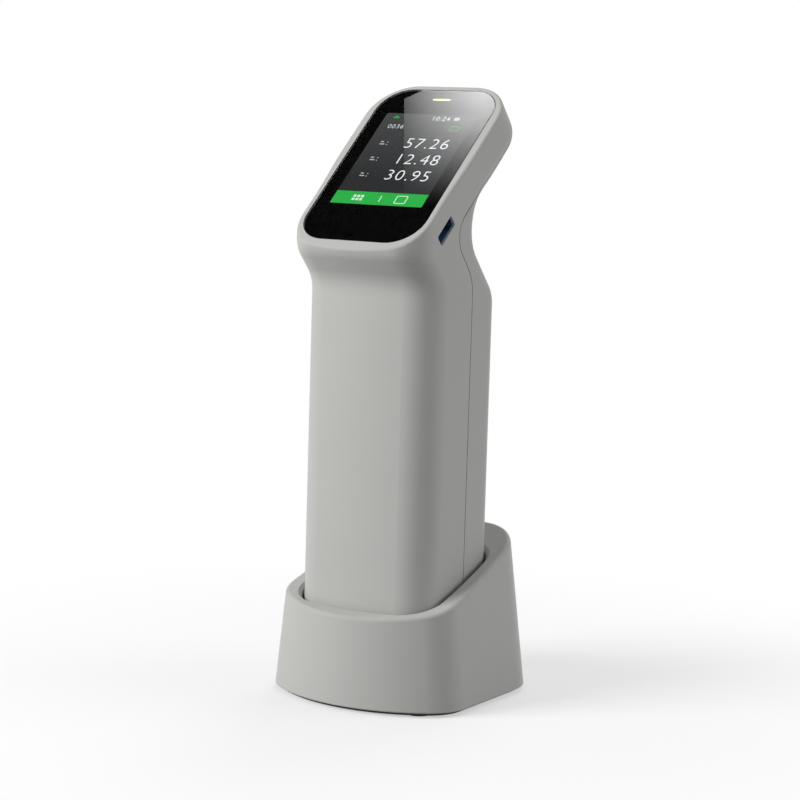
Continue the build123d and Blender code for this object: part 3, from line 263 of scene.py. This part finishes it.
def make_drawn_lines():
    """Fine lines along one axis, as on drawn, brushed or turned metal."""
    group, come, go = group_with(
        "drawn lines",
        [("Along", "NodeSocketVector", (1.0, 1.0, 1.0))],
        [("Height", "NodeSocketFloat"), ("Stain", "NodeSocketFloat")])
    nodes, links = group.nodes, group.links
    place = nodes.new("ShaderNodeTexCoord")
    stretched = nodes.new("ShaderNodeVectorMath")
    stretched.operation = "MULTIPLY"
    lines = nodes.new("ShaderNodeTexNoise")
    lines.inputs["Scale"].default_value = 900.0
    lines.inputs["Detail"].default_value = 4.0
    stain = nodes.new("ShaderNodeTexNoise")
    stain.inputs["Scale"].default_value = 260.0
    stain.inputs["Detail"].default_value = 4.0
    links.new(place.outputs["Object"], stretched.inputs[0])
    links.new(come.outputs["Along"], stretched.inputs[1])
    links.new(stretched.outputs["Vector"], lines.inputs["Vector"])
    links.new(place.outputs["Object"], stain.inputs["Vector"])
    links.new(lines.outputs["Fac"], go.inputs["Height"])
    links.new(stain.outputs["Fac"], go.inputs["Stain"])
    return group


drawn_lines = make_drawn_lines()
mark_depth = 0.000004


def metal(name, colour, stained, bright, dull, along=(1.0, 1.0, 1.0)):
    """Plated or drawn metal with its working marks, and roughness from bright to dull."""
    material, nodes, links, shader = blank(name)
    marks = placed(nodes, drawn_lines, Along=along)
    drift = colour_mix(nodes, colour, stained)
    rough = spread(nodes, bright, dull)
    bump = nodes.new("ShaderNodeBump")
    bump.inputs["Distance"].default_value = mark_depth
    links.new(marks.outputs["Stain"], drift.inputs[mix_factor])
    links.new(drift.outputs[mix_result], shader.inputs["Base Color"])
    links.new(marks.outputs["Stain"], rough.inputs["Value"])
    links.new(rough.outputs["Result"], shader.inputs["Roughness"])
    links.new(marks.outputs["Height"], bump.inputs["Height"])
    links.new(bump.outputs["Normal"], shader.inputs["Normal"])
    shader.inputs["Metallic"].default_value = 1.0
    return material


screw_steel = metal("screw steel", tint(182, 184, 188), tint(150, 151, 154), 0.22, 0.42)
dress(screw_steel, "dock_screws", "board_screws", "sphere_screws", "case_screws")


# Dock board, lamp board and the other circuit boards: green glass fibre boards. Copper tracks
# show as lighter lines under the solder mask, and the mask is glossy where it is thick.

def make_copper_tracks():
    """Runs of narrow tracks in two directions, with bare stretches between them."""
    group, come, go = group_with(
        "copper tracks",
        [("Pitch", "NodeSocketFloat", 260.0)],
        [("Track", "NodeSocketFloat"), ("Cloud", "NodeSocketFloat")])
    nodes, links = group.nodes, group.links
    place = nodes.new("ShaderNodeTexCoord")
    rows = nodes.new("ShaderNodeTexBrick")
    rows.offset = 0.37
    rows.inputs["Color1"].default_value = (0.0, 0.0, 0.0, 1.0)
    rows.inputs["Color2"].default_value = (0.0, 0.0, 0.0, 1.0)
    rows.inputs["Mortar"].default_value = (1.0, 1.0, 1.0, 1.0)
    rows.inputs["Mortar Size"].default_value = 0.05
    rows.inputs["Brick Width"].default_value = 2.6
    rows.inputs["Row Height"].default_value = 0.3
    areas = nodes.new("ShaderNodeTexVoronoi")
    areas.distance = "CHEBYCHEV"
    areas.inputs["Scale"].default_value = 120.0
    used = sum_node(nodes, "GREATER_THAN", second=0.45)
    laid = sum_node(nodes, "MULTIPLY")
    cloud = nodes.new("ShaderNodeTexNoise")
    cloud.inputs["Scale"].default_value = 90.0
    links.new(place.outputs["Object"], rows.inputs["Vector"])
    links.new(place.outputs["Object"], areas.inputs["Vector"])
    links.new(place.outputs["Object"], cloud.inputs["Vector"])
    links.new(come.outputs["Pitch"], rows.inputs["Scale"])
    links.new(areas.outputs["Color"], used.inputs[0])
    links.new(rows.outputs["Color"], laid.inputs[0])
    links.new(used.outputs[0], laid.inputs[1])
    links.new(laid.outputs[0], go.inputs["Track"])
    links.new(cloud.outputs["Fac"], go.inputs["Cloud"])
    return group


copper_tracks = make_copper_tracks()


def darker(colour, share):
    """A share of a colour."""
    return (colour[0] * share, colour[1] * share, colour[2] * share, 1.0)


def circuit_board(name, mask, track):
    """A solder-masked board."""
    material, nodes, links, shader = blank(name)
    runs = placed(nodes, copper_tracks)
    base = colour_mix(nodes, mask, darker(mask, 0.7))
    lined = colour_mix(nodes, mask, track)
    rough = spread(nodes, 0.32, 0.22)
    bump = nodes.new("ShaderNodeBump")
    bump.inputs["Distance"].default_value = 0.00003
    links.new(runs.outputs["Cloud"], base.inputs[mix_factor])
    links.new(base.outputs[mix_result], lined.inputs[mix_first])
    links.new(runs.outputs["Track"], lined.inputs[mix_factor])
    links.new(lined.outputs[mix_result], shader.inputs["Base Color"])
    links.new(runs.outputs["Track"], rough.inputs["Value"])
    links.new(rough.outputs["Result"], shader.inputs["Roughness"])
    links.new(runs.outputs["Track"], bump.inputs["Height"])
    links.new(bump.outputs["Normal"], shader.inputs["Normal"])
    shader.inputs["Coat Weight"].default_value = 0.4
    return material


green_board = circuit_board("green board", tint(20, 74, 44), tint(58, 118, 70))
dress(green_board, "dock_board", "main_board", "port_board", "button_board", "detector_board")
white_board = circuit_board("white lamp board", tint(196, 196, 190), tint(214, 212, 200))
dress(white_board, "lamp_board")


# Sockets: the power inlet at the back of the dock and the wide socket in the side of the head
# are folded from bright nickel-plated sheet steel, which keeps the lines of its rolling.

socket_steel = metal("socket steel", tint(206, 206, 204), tint(170, 170, 168), 0.16, 0.34,
                     along=(0.15, 1.0, 1.0))
dress(socket_steel, "dock_power_inlet", "usb_port")


# Sprung pins and the pads that they touch: turned brass, gold plated, the plating a little
# uneven.

gold_plate = metal("gold plate", tint(226, 180, 96), tint(196, 150, 74), 0.14, 0.32)
dress(gold_plate, "charge_pin_left", "charge_pin_right", "charge_pads")


# Calibration tile: a glazed white ceramic disc, which is what the instrument is zeroed on. The
# glaze pools a little and hides the fired body under it.

def glazed(name, colour, shade):
    """A white fired glaze."""
    material, nodes, links, shader = blank(name)
    texture = placed(nodes, moulded_grain, Grain_Scale=300.0, Mottle_Scale=60.0)
    drift = colour_mix(nodes, colour, shade)
    rough = spread(nodes, 0.06, 0.14)
    bump = nodes.new("ShaderNodeBump")
    bump.inputs["Distance"].default_value = 0.00002
    links.new(texture.outputs["Mottle"], drift.inputs[mix_factor])
    links.new(drift.outputs[mix_result], shader.inputs["Base Color"])
    links.new(texture.outputs["Mottle"], rough.inputs["Value"])
    links.new(rough.outputs["Result"], shader.inputs["Roughness"])
    links.new(texture.outputs["Height"], bump.inputs["Height"])
    links.new(bump.outputs["Normal"], shader.inputs["Normal"])
    shader.inputs["Coat Weight"].default_value = 0.6
    shader.inputs["Coat Roughness"].default_value = 0.04
    return material


dress(glazed("tile glaze", tint(236, 236, 232), tint(228, 228, 222)), "calibration_tile")


# Dock shell: the tapered cup with the slanted rim, moulded in warm light grey ABS with a fine
# satin texture. The handset's case is moulded from the same plastic.

shell_plastic = moulded_plastic(
    "shell plastic", tint(186, 186, 183), tint(181, 181, 178), tint(200, 200, 197),
    satin=0.46, gloss=0.34, grain=2200.0, relief=0.000015, wear=0.35, dust=0.03)
dress(shell_plastic, "dock_shell", "front_shell", "rear_cover", "bottom_cap")


# Measuring port: a black anodised ring with a small hardened window in it, pressed into the
# bottom cap. The same black aluminium makes the lens barrel and the spectrometer's body.

black_aluminium = metal("black aluminium", tint(40, 40, 42), tint(30, 30, 32), 0.38, 0.55,
                        along=(1.0, 1.0, 0.2))
dress(black_aluminium, "aperture_ring", "lens_barrel", "spectrometer_housing",
      "spectrometer_lid")


def clear_glass(name, colour, smear):
    """Clear glass with the faint smears that wiping leaves, as rough as smear at most."""
    material, nodes, links, shader = blank(name)
    place = nodes.new("ShaderNodeTexCoord")
    wiped = nodes.new("ShaderNodeTexNoise")
    wiped.inputs["Scale"].default_value = 45.0
    wiped.inputs["Detail"].default_value = 5.0
    wiped.inputs["Distortion"].default_value = 1.2
    clean = nodes.new("ShaderNodeMapRange")
    clean.inputs["From Min"].default_value = 0.5
    clean.inputs["From Max"].default_value = 0.8
    clean.inputs["To Max"].default_value = smear
    links.new(place.outputs["Object"], wiped.inputs["Vector"])
    links.new(wiped.outputs["Fac"], clean.inputs["Value"])
    links.new(clean.outputs["Result"], shader.inputs["Roughness"])
    shader.inputs["Base Color"].default_value = colour
    shader.inputs["Transmission Weight"].default_value = 1.0
    shader.inputs["IOR"].default_value = 1.5
    return material


optical_glass = clear_glass("optical glass", (1.0, 1.0, 1.0, 1.0), 0.02)
dress(optical_glass, "dust_window", "collimating_lens")


# Integrating sphere: two pressed halves whose inside is barium-white and fully matt. Light
# from the lamps is mixed in it before it reaches the sample.

sphere_white = moulded_plastic(
    "sphere white", tint(238, 238, 236), tint(232, 232, 229), tint(226, 226, 222),
    satin=0.95, gloss=0.9, grain=2600.0, relief=0.00003, dust=0.0)
dress(sphere_white, "sphere_lower", "sphere_upper")


# Lamps: white light-emitting diodes on the ring board. A yellow phosphor fills the window of
# each white body.

lamp_body = moulded_plastic(
    "lamp body", tint(232, 216, 120), tint(238, 228, 160), tint(240, 236, 210),
    satin=0.35, gloss=0.3, grain=1400.0, dust=0.0)
dress(lamp_body, "lamp_leds")


# Grating: a coated mirror with ruled lines too fine to see, which throw the light back as a
# spread of colours.

def ruled_mirror():
    """An aluminised face whose tint runs through the rainbow across the rulings."""
    material, nodes, links, shader = blank("ruled mirror")
    place = nodes.new("ShaderNodeTexCoord")
    bands = nodes.new("ShaderNodeTexWave")
    bands.bands_direction = "X"
    bands.inputs["Scale"].default_value = 40.0
    bands.inputs["Distortion"].default_value = 1.0
    rainbow = nodes.new("ShaderNodeValToRGB")
    stops = rainbow.color_ramp.elements
    stops[0].position = 0.0
    stops[0].color = (0.45, 0.5, 0.9, 1.0)
    stops[1].position = 1.0
    stops[1].color = (0.9, 0.5, 0.45, 1.0)
    middle = stops.new(0.5)
    middle.color = (0.55, 0.9, 0.6, 1.0)
    links.new(place.outputs["Object"], bands.inputs["Vector"])
    links.new(bands.outputs["Fac"], rainbow.inputs["Fac"])
    links.new(rainbow.outputs["Color"], shader.inputs["Base Color"])
    shader.inputs["Metallic"].default_value = 1.0
    shader.inputs["Roughness"].default_value = 0.08
    return material


dress(ruled_mirror(), "grating")


# Battery: a flat lithium cell in a dull blue shrink sleeve, held in a black plastic cradle.
# The buzzer and the switches are of the same black plastic.

battery_sleeve = moulded_plastic(
    "battery sleeve", tint(44, 84, 128), tint(38, 76, 118), tint(70, 108, 150),
    satin=0.4, gloss=0.3, grain=500.0, relief=0.00003, dust=0.02)
dress(battery_sleeve, "battery_pack")

black_plastic = moulded_plastic(
    "black plastic", tint(32, 32, 34), tint(27, 27, 29), tint(52, 52, 54),
    satin=0.48, gloss=0.34, grain=1700.0, dust=0.03)
dress(black_plastic, "battery_cradle", "buzzer", "button_switch")


# Tongue of the wide socket: blue moulded plastic, as sockets of the fast kind have, with a slight
# gloss and a rubbed front edge. Its blue, the rubbed edge's too, is painted far lighter than the
# plastic's own: painted light for the light that doesn't reach it deep in the slot.

blue_plastic_painted_light = moulded_plastic(
    "blue plastic with painted light", tint(104, 184, 255), tint(94, 174, 250), tint(150, 204, 255),
    satin=0.34, gloss=0.26, grain=1900.0, dust=0.02)
dress(blue_plastic_painted_light, "usb_tongue")


# Display: a colour panel under the glass. Its face is dark grey and lets a faint glow through in a
# grid of tiny square dots, lighter towards its head.

display_foot_z, display_head_z = 0.208, 0.237
panel_dark = (0.010, 0.010, 0.011, 1.0)


def lit_panel(name, dark, foot, head):
    """A panel face lit from behind, from one colour at its foot to another at its head."""
    material, nodes, links, shader = blank(name)
    place = nodes.new("ShaderNodeTexCoord")
    split = nodes.new("ShaderNodeSeparateXYZ")
    rise = nodes.new("ShaderNodeMapRange")
    rise.inputs["From Min"].default_value = display_foot_z
    rise.inputs["From Max"].default_value = display_head_z
    lit = colour_mix(nodes, foot, head)
    dots = nodes.new("ShaderNodeTexBrick")
    dots.offset = 0.0
    dots.inputs["Scale"].default_value = 5500.0
    dots.inputs["Brick Width"].default_value = 1.0
    dots.inputs["Row Height"].default_value = 1.0
    dots.inputs["Mortar Size"].default_value = 0.08
    dots.inputs["Mortar"].default_value = dark
    links.new(place.outputs["Object"], split.inputs["Vector"])
    links.new(split.outputs["Z"], rise.inputs["Value"])
    links.new(rise.outputs["Result"], lit.inputs[mix_factor])
    links.new(place.outputs["Object"], dots.inputs["Vector"])
    links.new(lit.outputs[mix_result], dots.inputs["Color1"])
    links.new(lit.outputs[mix_result], dots.inputs["Color2"])
    links.new(dots.outputs["Color"], shader.inputs["Emission Color"])
    shader.inputs["Base Color"].default_value = dark
    shader.inputs["Roughness"].default_value = 0.5
    shader.inputs["Specular IOR Level"].default_value = 0.0
    shader.inputs["Emission Strength"].default_value = 1.0
    return material


display_face = lit_panel("display face", panel_dark, (0.036, 0.037, 0.038, 1.0),
                         (0.098, 0.100, 0.101, 1.0))
dress(display_face, "lcd_module")


# Picture on the display: three readings, a status line, marks and the green key, drawn with
# light. They lie on a face that is bonded to the back of the glass, in the window of its print.

screen_y, screen_z = -0.0047, 0.2172
screen_cos, screen_sin = 0.75011, 0.66131
screen_place = Matrix((
    (1.0, 0.0, 0.0, 0.0),
    (0.0, screen_cos, -screen_sin, screen_y),
    (0.0, screen_sin, screen_cos, screen_z),
    (0.0, 0.0, 0.0, 1.0)))
millimetre = 0.001
face_depth, ink_depth, key_mark_depth = -0.00114, -0.001135, -0.00113


def light_ink(name, colour):
    """Lit dots of one colour, with a darker grid between them."""
    return lit_panel(name, darker(colour, 0.5), colour, colour)


def put_on_screen(name, mesh, material, depth):
    """Lays a flat mesh, drawn in millimetres across and up the screen, on the display."""
    sunk = screen_place @ Matrix.Translation((0.0, 0.0, depth))
    mesh.transform(sunk @ Matrix.Scale(millimetre, 4))
    mesh.materials.clear()
    mesh.materials.append(material)
    piece = bpy.data.objects.new(name, mesh)
    bpy.context.scene.collection.objects.link(piece)
    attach(piece, "handset")


def figures(name, rows, material):
    """Numbers set flush right, each row given as (text, right edge, foot, height)."""
    joined = bmesh.new()
    for text, right, foot, height in rows:
        line = bpy.data.curves.new("line", "FONT")
        line.body = text
        line.resolution_u = 4
        line.space_character = 1.12
        line.offset = -0.012
        carrier = bpy.data.objects.new("line", line)
        flat = bpy.data.meshes.new_from_object(carrier)
        last_x = max(v.co.x for v in flat.vertices)
        low_y = min(v.co.y for v in flat.vertices)
        high_y = max(v.co.y for v in flat.vertices)
        flat.transform(Matrix.Translation((right, foot, 0.0))
                       @ Matrix.Scale(height / (high_y - low_y), 4)
                       @ Matrix.Translation((-last_x, -low_y, 0.0)))
        joined.from_mesh(flat)
        bpy.data.meshes.remove(flat)
        bpy.data.objects.remove(carrier)
        bpy.data.curves.remove(line)
    mesh = bpy.data.meshes.new(name)
    joined.to_mesh(mesh)
    joined.free()
    put_on_screen(name, mesh, material, ink_depth)


def slabs(name, places, material, depth=ink_depth, corner=0.0, line=0.0):
    """Flat plates, each given as (left, bottom, right, top), or their outlines of one width."""
    flat = bmesh.new()
    for left, bottom, right, top in places:
        corners = [flat.verts.new((x, y, 0.0)) for x, y in
                   ((left, bottom), (right, bottom), (right, top), (left, top))]
        flat.faces.new(corners)
        if corner:
            bmesh.ops.bevel(flat, geom=corners, offset=corner, segments=4, profile=0.5,
                            material=-1, affect="VERTICES")
    if line:
        inner = list(flat.faces)
        bmesh.ops.inset_individual(flat, faces=inner, thickness=line, use_even_offset=True)
        bmesh.ops.delete(flat, geom=inner, context="FACES")
    mesh = bpy.data.meshes.new(name)
    flat.to_mesh(mesh)
    flat.free()
    put_on_screen(name, mesh, material, depth)


slabs("screen_face", [(-21.8, -27.5, 21.8, 27.5)], display_face, face_depth)
white_ink = light_ink("white dots", (0.86, 0.9, 0.92, 1.0))
green_ink = light_ink("green dots", tint(50, 176, 76))
grey_ink = light_ink("grey dots", tint(186, 190, 190))
pale_ink = light_ink("pale dots", tint(214, 240, 218))

readings = (("57.26", 6.6), ("12.48", -2.9), ("30.95", -12.4))
reading_right, reading_height, status_height = 16.4, 5.8, 2.4
figures("screen_readings",
        [(text, reading_right, foot, reading_height) for text, foot in readings], white_ink)
figures("screen_status",
        [("10:24", 9.6, 23.5, status_height), ("0036", -9.8, 18.0, status_height)], white_ink)
dashes, dots = [], []
for text, foot in readings:
    dashes += [(-15.8, foot + 1.4, -13.6, foot + 2.0), (-15.8, foot + 2.8, -14.4, foot + 3.4)]
    dots += [(-12.7, foot + 1.2, -12.2, foot + 1.7), (-12.7, foot + 2.7, -12.2, foot + 3.2)]
slabs("screen_labels", dashes + dots, grey_ink)
slabs("screen_key", [(-21.4, -27.1, 21.4, -19.9)], green_ink)
slabs("screen_cell", [(11.6, 23.8, 13.9, 25.6), (14.1, 24.3, 14.4, 25.1)], grey_ink)
slabs("screen_tag", [(12.2, 17.6, 16.4, 20.4)], green_ink, corner=0.6, line=0.3)
slabs("screen_arrow", [(-17.4, 24.2, -14.4, 24.8), (-16.6, 24.8, -15.2, 25.6)], green_ink)


# Key at the foot of the display: six small squares on its left, a divider, and the outline of
# a card with its label on its right. They are drawn a hair above the green.

square = 1.3
stroke = 0.45
slabs("screen_squares",
      [(x, y, x + square, y + square) for x in (-12.4, -10.6, -8.8) for y in (-25.0, -23.2)],
      pale_ink, key_mark_depth)
slabs("screen_divider", [(0.4, -25.2, 0.8, -21.9)], pale_ink, key_mark_depth)
slabs("screen_card", [(7.6, -25.8, 12.9, -21.2)], pale_ink, key_mark_depth, corner=0.7, line=stroke)
slabs("screen_card_label", [(8.9, -23.4, 11.6, -21.6)], pale_ink, key_mark_depth, line=stroke)


# Black print: screen-printed ink on the back of the glass, round the display and the light
# slot. It is dense, with the faint orange peel of the ink, and has no gloss of its own: it wets
# the glass, so its face is sunk a hair into it and the two don't lie in one plane.

black_ink = moulded_plastic(
    "black print", tint(24, 24, 25), tint(28, 28, 29), tint(30, 30, 31),
    satin=0.6, gloss=0.5, grain=900.0, relief=0.000005, wear=0.2, dust=0.0)
black_ink.node_tree.nodes["Principled BSDF"].inputs["Specular IOR Level"].default_value = 0.0
dress(black_ink, "glass_print")
wetted_depth = 0.00003
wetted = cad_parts["glass_print"].modifiers.new("wets the glass", "DISPLACE")
wetted.strength = wetted_depth
wetted.mid_level = 0.0


# Indicator light: a moulded bar of clear acrylic behind the slot, lit yellow-green from
# behind. The light is brightest in its middle.

def lit_lens():
    """Acrylic that glows, and fades a little to its ends."""
    material, nodes, links, shader = blank("lit acrylic")
    place = nodes.new("ShaderNodeTexCoord")
    across = nodes.new("ShaderNodeSeparateXYZ")
    away = sum_node(nodes, "ABSOLUTE")
    fade = nodes.new("ShaderNodeMapRange")
    fade.inputs["From Min"].default_value = 0.0015
    fade.inputs["From Max"].default_value = 0.0045
    glow = colour_mix(nodes, tint(222, 238, 104), tint(150, 170, 66))
    links.new(place.outputs["Object"], across.inputs["Vector"])
    links.new(across.outputs["X"], away.inputs[0])
    links.new(away.outputs[0], fade.inputs["Value"])
    links.new(fade.outputs["Result"], glow.inputs[mix_factor])
    links.new(glow.outputs[mix_result], shader.inputs["Emission Color"])
    shader.inputs["Base Color"].default_value = tint(170, 200, 60)
    shader.inputs["Emission Strength"].default_value = 1.1
    shader.inputs["Roughness"].default_value = 0.25
    return material


dress(lit_lens(), "indicator_lens")


# Cover glass: chemically hardened glass with a ground edge, let into the bezel a hair below
# its face. It mirrors the studio's card and shows the black print and the display under it.

dress(clear_glass("cover glass", (0.97, 0.98, 0.98, 1.0), 0.03), "cover_glass")


# Measuring button: a soft-touch key in the back of the neck, a shade darker than the case.

button_plastic = moulded_plastic(
    "button plastic", tint(150, 151, 149), tint(144, 145, 143), tint(172, 172, 170),
    satin=0.6, gloss=0.42, grain=1600.0, dust=0.03)
dress(button_plastic, "measure_button")


# Studio: a pale floor that turns white away from the object, and nothing else in the room. It
# keeps the object's soft shadow.

def plain_square(name, size, place, material):
    """A flat square of the studio, which isn't part of the object."""
    flat = bmesh.new()
    flat.loops.layers.uv.new("plane")
    bmesh.ops.create_grid(flat, x_segments=1, y_segments=1, size=size / 2.0, calc_uvs=True)
    mesh = bpy.data.meshes.new(name)
    flat.to_mesh(mesh)
    flat.free()
    mesh.transform(place)
    mesh.materials.append(material)
    piece = bpy.data.objects.new(name, mesh)
    bpy.context.scene.collection.objects.link(piece)
    return piece


def pale_floor():
    """A pale floor that takes the object's shadow, is white further off and throws little back."""
    material = bpy.data.materials.new("pale floor")
    material.use_nodes = True
    nodes, links = material.node_tree.nodes, material.node_tree.links
    nodes.clear()
    out = nodes.new("ShaderNodeOutputMaterial")
    matt = nodes.new("ShaderNodeBsdfDiffuse")
    tone = colour_mix(nodes, (0.86, 0.86, 0.855, 1.0), (0.3, 0.3, 0.298, 1.0))
    white = nodes.new("ShaderNodeEmission")
    mix = nodes.new("ShaderNodeMixShader")
    path = nodes.new("ShaderNodeLightPath")
    place = nodes.new("ShaderNodeTexCoord")
    reach = nodes.new("ShaderNodeVectorMath")
    reach.operation = "LENGTH"
    fade = nodes.new("ShaderNodeMapRange")
    fade.interpolation_type = "SMOOTHSTEP"
    fade.inputs["From Min"].default_value = 0.07
    fade.inputs["From Max"].default_value = 0.30
    fade.inputs["To Min"].default_value = 0.5
    seen = sum_node(nodes, "ADD")
    seen_clear = sum_node(nodes, "ADD")
    seen_clear.use_clamp = True
    amount = sum_node(nodes, "MULTIPLY")
    links.new(path.outputs["Is Diffuse Ray"], tone.inputs[mix_factor])
    links.new(tone.outputs[mix_result], matt.inputs["Color"])
    links.new(place.outputs["Object"], reach.inputs[0])
    links.new(reach.outputs["Value"], fade.inputs["Value"])
    links.new(path.outputs["Is Camera Ray"], seen.inputs[0])
    links.new(path.outputs["Is Glossy Ray"], seen.inputs[1])
    links.new(seen.outputs[0], seen_clear.inputs[0])
    links.new(path.outputs["Is Transmission Ray"], seen_clear.inputs[1])
    links.new(seen_clear.outputs[0], amount.inputs[0])
    links.new(fade.outputs["Result"], amount.inputs[1])
    links.new(amount.outputs[0], mix.inputs["Fac"])
    links.new(matt.outputs["BSDF"], mix.inputs[1])
    links.new(white.outputs["Emission"], mix.inputs[2])
    links.new(mix.outputs["Shader"], out.inputs["Surface"])
    return material


floor_size = 6.0
plain_square("floor", floor_size, Matrix.Identity(4), pale_floor())


# Cards: a black flag hangs where the glass looks, as a photographer hangs one to keep a black
# glass black. Before it a lit card, brightest in one corner, gives the glass its bright patch.

def black_flag():
    """Black cloth on a frame."""
    material, nodes, links, shader = blank("flag cloth")
    shader.inputs["Base Color"].default_value = (0.004, 0.004, 0.004, 1.0)
    shader.inputs["Roughness"].default_value = 1.0
    shader.inputs["Specular IOR Level"].default_value = 0.0
    return material


def lit_card():
    """A lit card that fades to its foot and a little to its left side."""
    material, nodes, links, shader = blank("lit card")
    place = nodes.new("ShaderNodeTexCoord")
    split = nodes.new("ShaderNodeSeparateXYZ")
    sideways = nodes.new("ShaderNodeMapRange")
    sideways.inputs["From Max"].default_value = 0.66
    sideways.inputs["To Min"].default_value = 0.14
    upwards = nodes.new("ShaderNodeMapRange")
    upwards.inputs["From Max"].default_value = 0.79
    eased = sum_node(nodes, "POWER", second=1.4)
    both = sum_node(nodes, "MULTIPLY")
    links.new(place.outputs["UV"], split.inputs["Vector"])
    links.new(split.outputs["X"], sideways.inputs["Value"])
    links.new(split.outputs["Y"], upwards.inputs["Value"])
    links.new(upwards.outputs["Result"], eased.inputs[0])
    links.new(sideways.outputs["Result"], both.inputs[0])
    links.new(eased.outputs[0], both.inputs[1])
    links.new(both.outputs[0], shader.inputs["Emission Color"])
    shader.inputs["Base Color"].default_value = (0.0, 0.0, 0.0, 1.0)
    shader.inputs["Specular IOR Level"].default_value = 0.0
    shader.inputs["Emission Strength"].default_value = 9.8
    return material


def facing(centre, normal):
    """A place with its flat side towards normal and its second axis as near +Y as it goes."""
    normal = normal.normalized()
    across = Vector((0.0, 1.0, 0.0)).cross(normal).normalized()
    up = normal.cross(across)
    return Matrix.Translation(centre) @ Matrix((across, up, normal)).transposed().to_4x4()


def only_mirrored(card):
    """The card is seen in the glass alone: it hides nothing and throws no light or shadow."""
    card.visible_camera = False
    card.visible_diffuse = False
    card.visible_shadow = False


flag_size, flag_distance = 0.7, 0.62
mirror_way = Vector((-0.515, -0.002, 0.857))
glass_middle = Vector((0.0, screen_y, screen_z))
flag_place = facing(glass_middle + mirror_way * flag_distance, -mirror_way)
only_mirrored(plain_square("flag", flag_size, flag_place, black_flag()))

card_middle = Vector((-0.2744, 0.0621, 0.7160))
card_across = Vector((0.0859, 0.0046, 0.0040))
card_upward = Vector((-0.0638, 0.0960, 0.0847))
card_turn = Matrix((card_across, card_upward, card_across.cross(card_upward))).transposed()
card_place = Matrix.Translation(card_middle) @ card_turn.to_4x4()
only_mirrored(plain_square("card", 1.0, card_place, lit_card()))


# Lamps of the studio: a large soft key from the front left, weak ones from the right and from
# behind, and a soft top light. The room is dim and pale, and white where the camera sees it.

def soft_lamp(name, place, target, size, power):
    """A square area lamp aimed at a point. Neither face of the glass shows it."""
    lamp = bpy.data.lights.new(name, "AREA")
    lamp.shape = "SQUARE"
    lamp.size = size
    lamp.energy = power
    holder = bpy.data.objects.new(name, lamp)
    holder.location = place
    aim = Vector(target) - Vector(place)
    holder.rotation_euler = aim.to_track_quat("-Z", "Y").to_euler()
    holder.visible_glossy = False
    holder.visible_transmission = False
    bpy.context.scene.collection.objects.link(holder)


grip_middle = (0.0, 0.0, 0.12)
soft_lamp("key", (-0.9, -1.25, 0.9), grip_middle, 0.9, 31.0)
soft_lamp("rim", (1.3, 0.7, 0.6), grip_middle, 1.0, 8.5)
soft_lamp("back", (-0.3, 1.5, 0.7), grip_middle, 1.0, 9.0)
soft_lamp("top", (0.1, 0.3, 1.5), (0.0, 0.0, 0.1), 1.0, 4.0)

world = bpy.data.worlds.new("room")
world.use_nodes = True
bpy.context.scene.world = world
room_nodes, room_links = world.node_tree.nodes, world.node_tree.links
room_nodes.clear()
room_out = room_nodes.new("ShaderNodeOutputWorld")
room_light = room_nodes.new("ShaderNodeBackground")
room_light.inputs["Color"].default_value = (0.98, 0.99, 1.0, 1.0)
room_light.inputs["Strength"].default_value = 0.2
room_seen = room_nodes.new("ShaderNodeBackground")
room_seen.inputs["Color"].default_value = (1.0, 1.0, 1.0, 1.0)
room_seen.inputs["Strength"].default_value = 1.0
room_path = room_nodes.new("ShaderNodeLightPath")
room_clear = sum_node(room_nodes, "ADD")
room_clear.use_clamp = True
room_mix = room_nodes.new("ShaderNodeMixShader")
room_links.new(room_path.outputs["Is Camera Ray"], room_clear.inputs[0])
room_links.new(room_path.outputs["Is Transmission Ray"], room_clear.inputs[1])
room_links.new(room_clear.outputs[0], room_mix.inputs["Fac"])
room_links.new(room_light.outputs["Background"], room_mix.inputs[1])
room_links.new(room_seen.outputs["Background"], room_mix.inputs[2])
room_links.new(room_mix.outputs["Shader"], room_out.inputs["Surface"])

bpy.context.scene.view_settings.view_transform = "Standard"


# Camera: a long lens to the right of the object and level with its head, as in the
# photograph, with a little shift to hold the object in the middle of the frame.

lens = bpy.data.cameras.new("camera")
lens.sensor_width = 36.0
lens.lens = 105.2
lens.shift_x = -0.0545
lens.shift_y = -0.0368
lens.clip_start = 0.05
lens.clip_end = 20.0
camera = bpy.data.objects.new("camera", lens)
camera_place = Vector((0.500335, -0.794999, 0.236175))
camera_right = Vector((0.85315, 0.52071, 0.03152))
camera_up = Vector((-0.08417, 0.07778, 0.99341))
camera_back = Vector((0.51483, -0.85018, 0.11019))
camera_turn = Matrix((camera_right, camera_up, camera_back)).transposed()
camera.matrix_world = Matrix.Translation(camera_place) @ camera_turn.to_4x4()
bpy.context.scene.collection.objects.link(camera)
bpy.context.scene.camera = camera
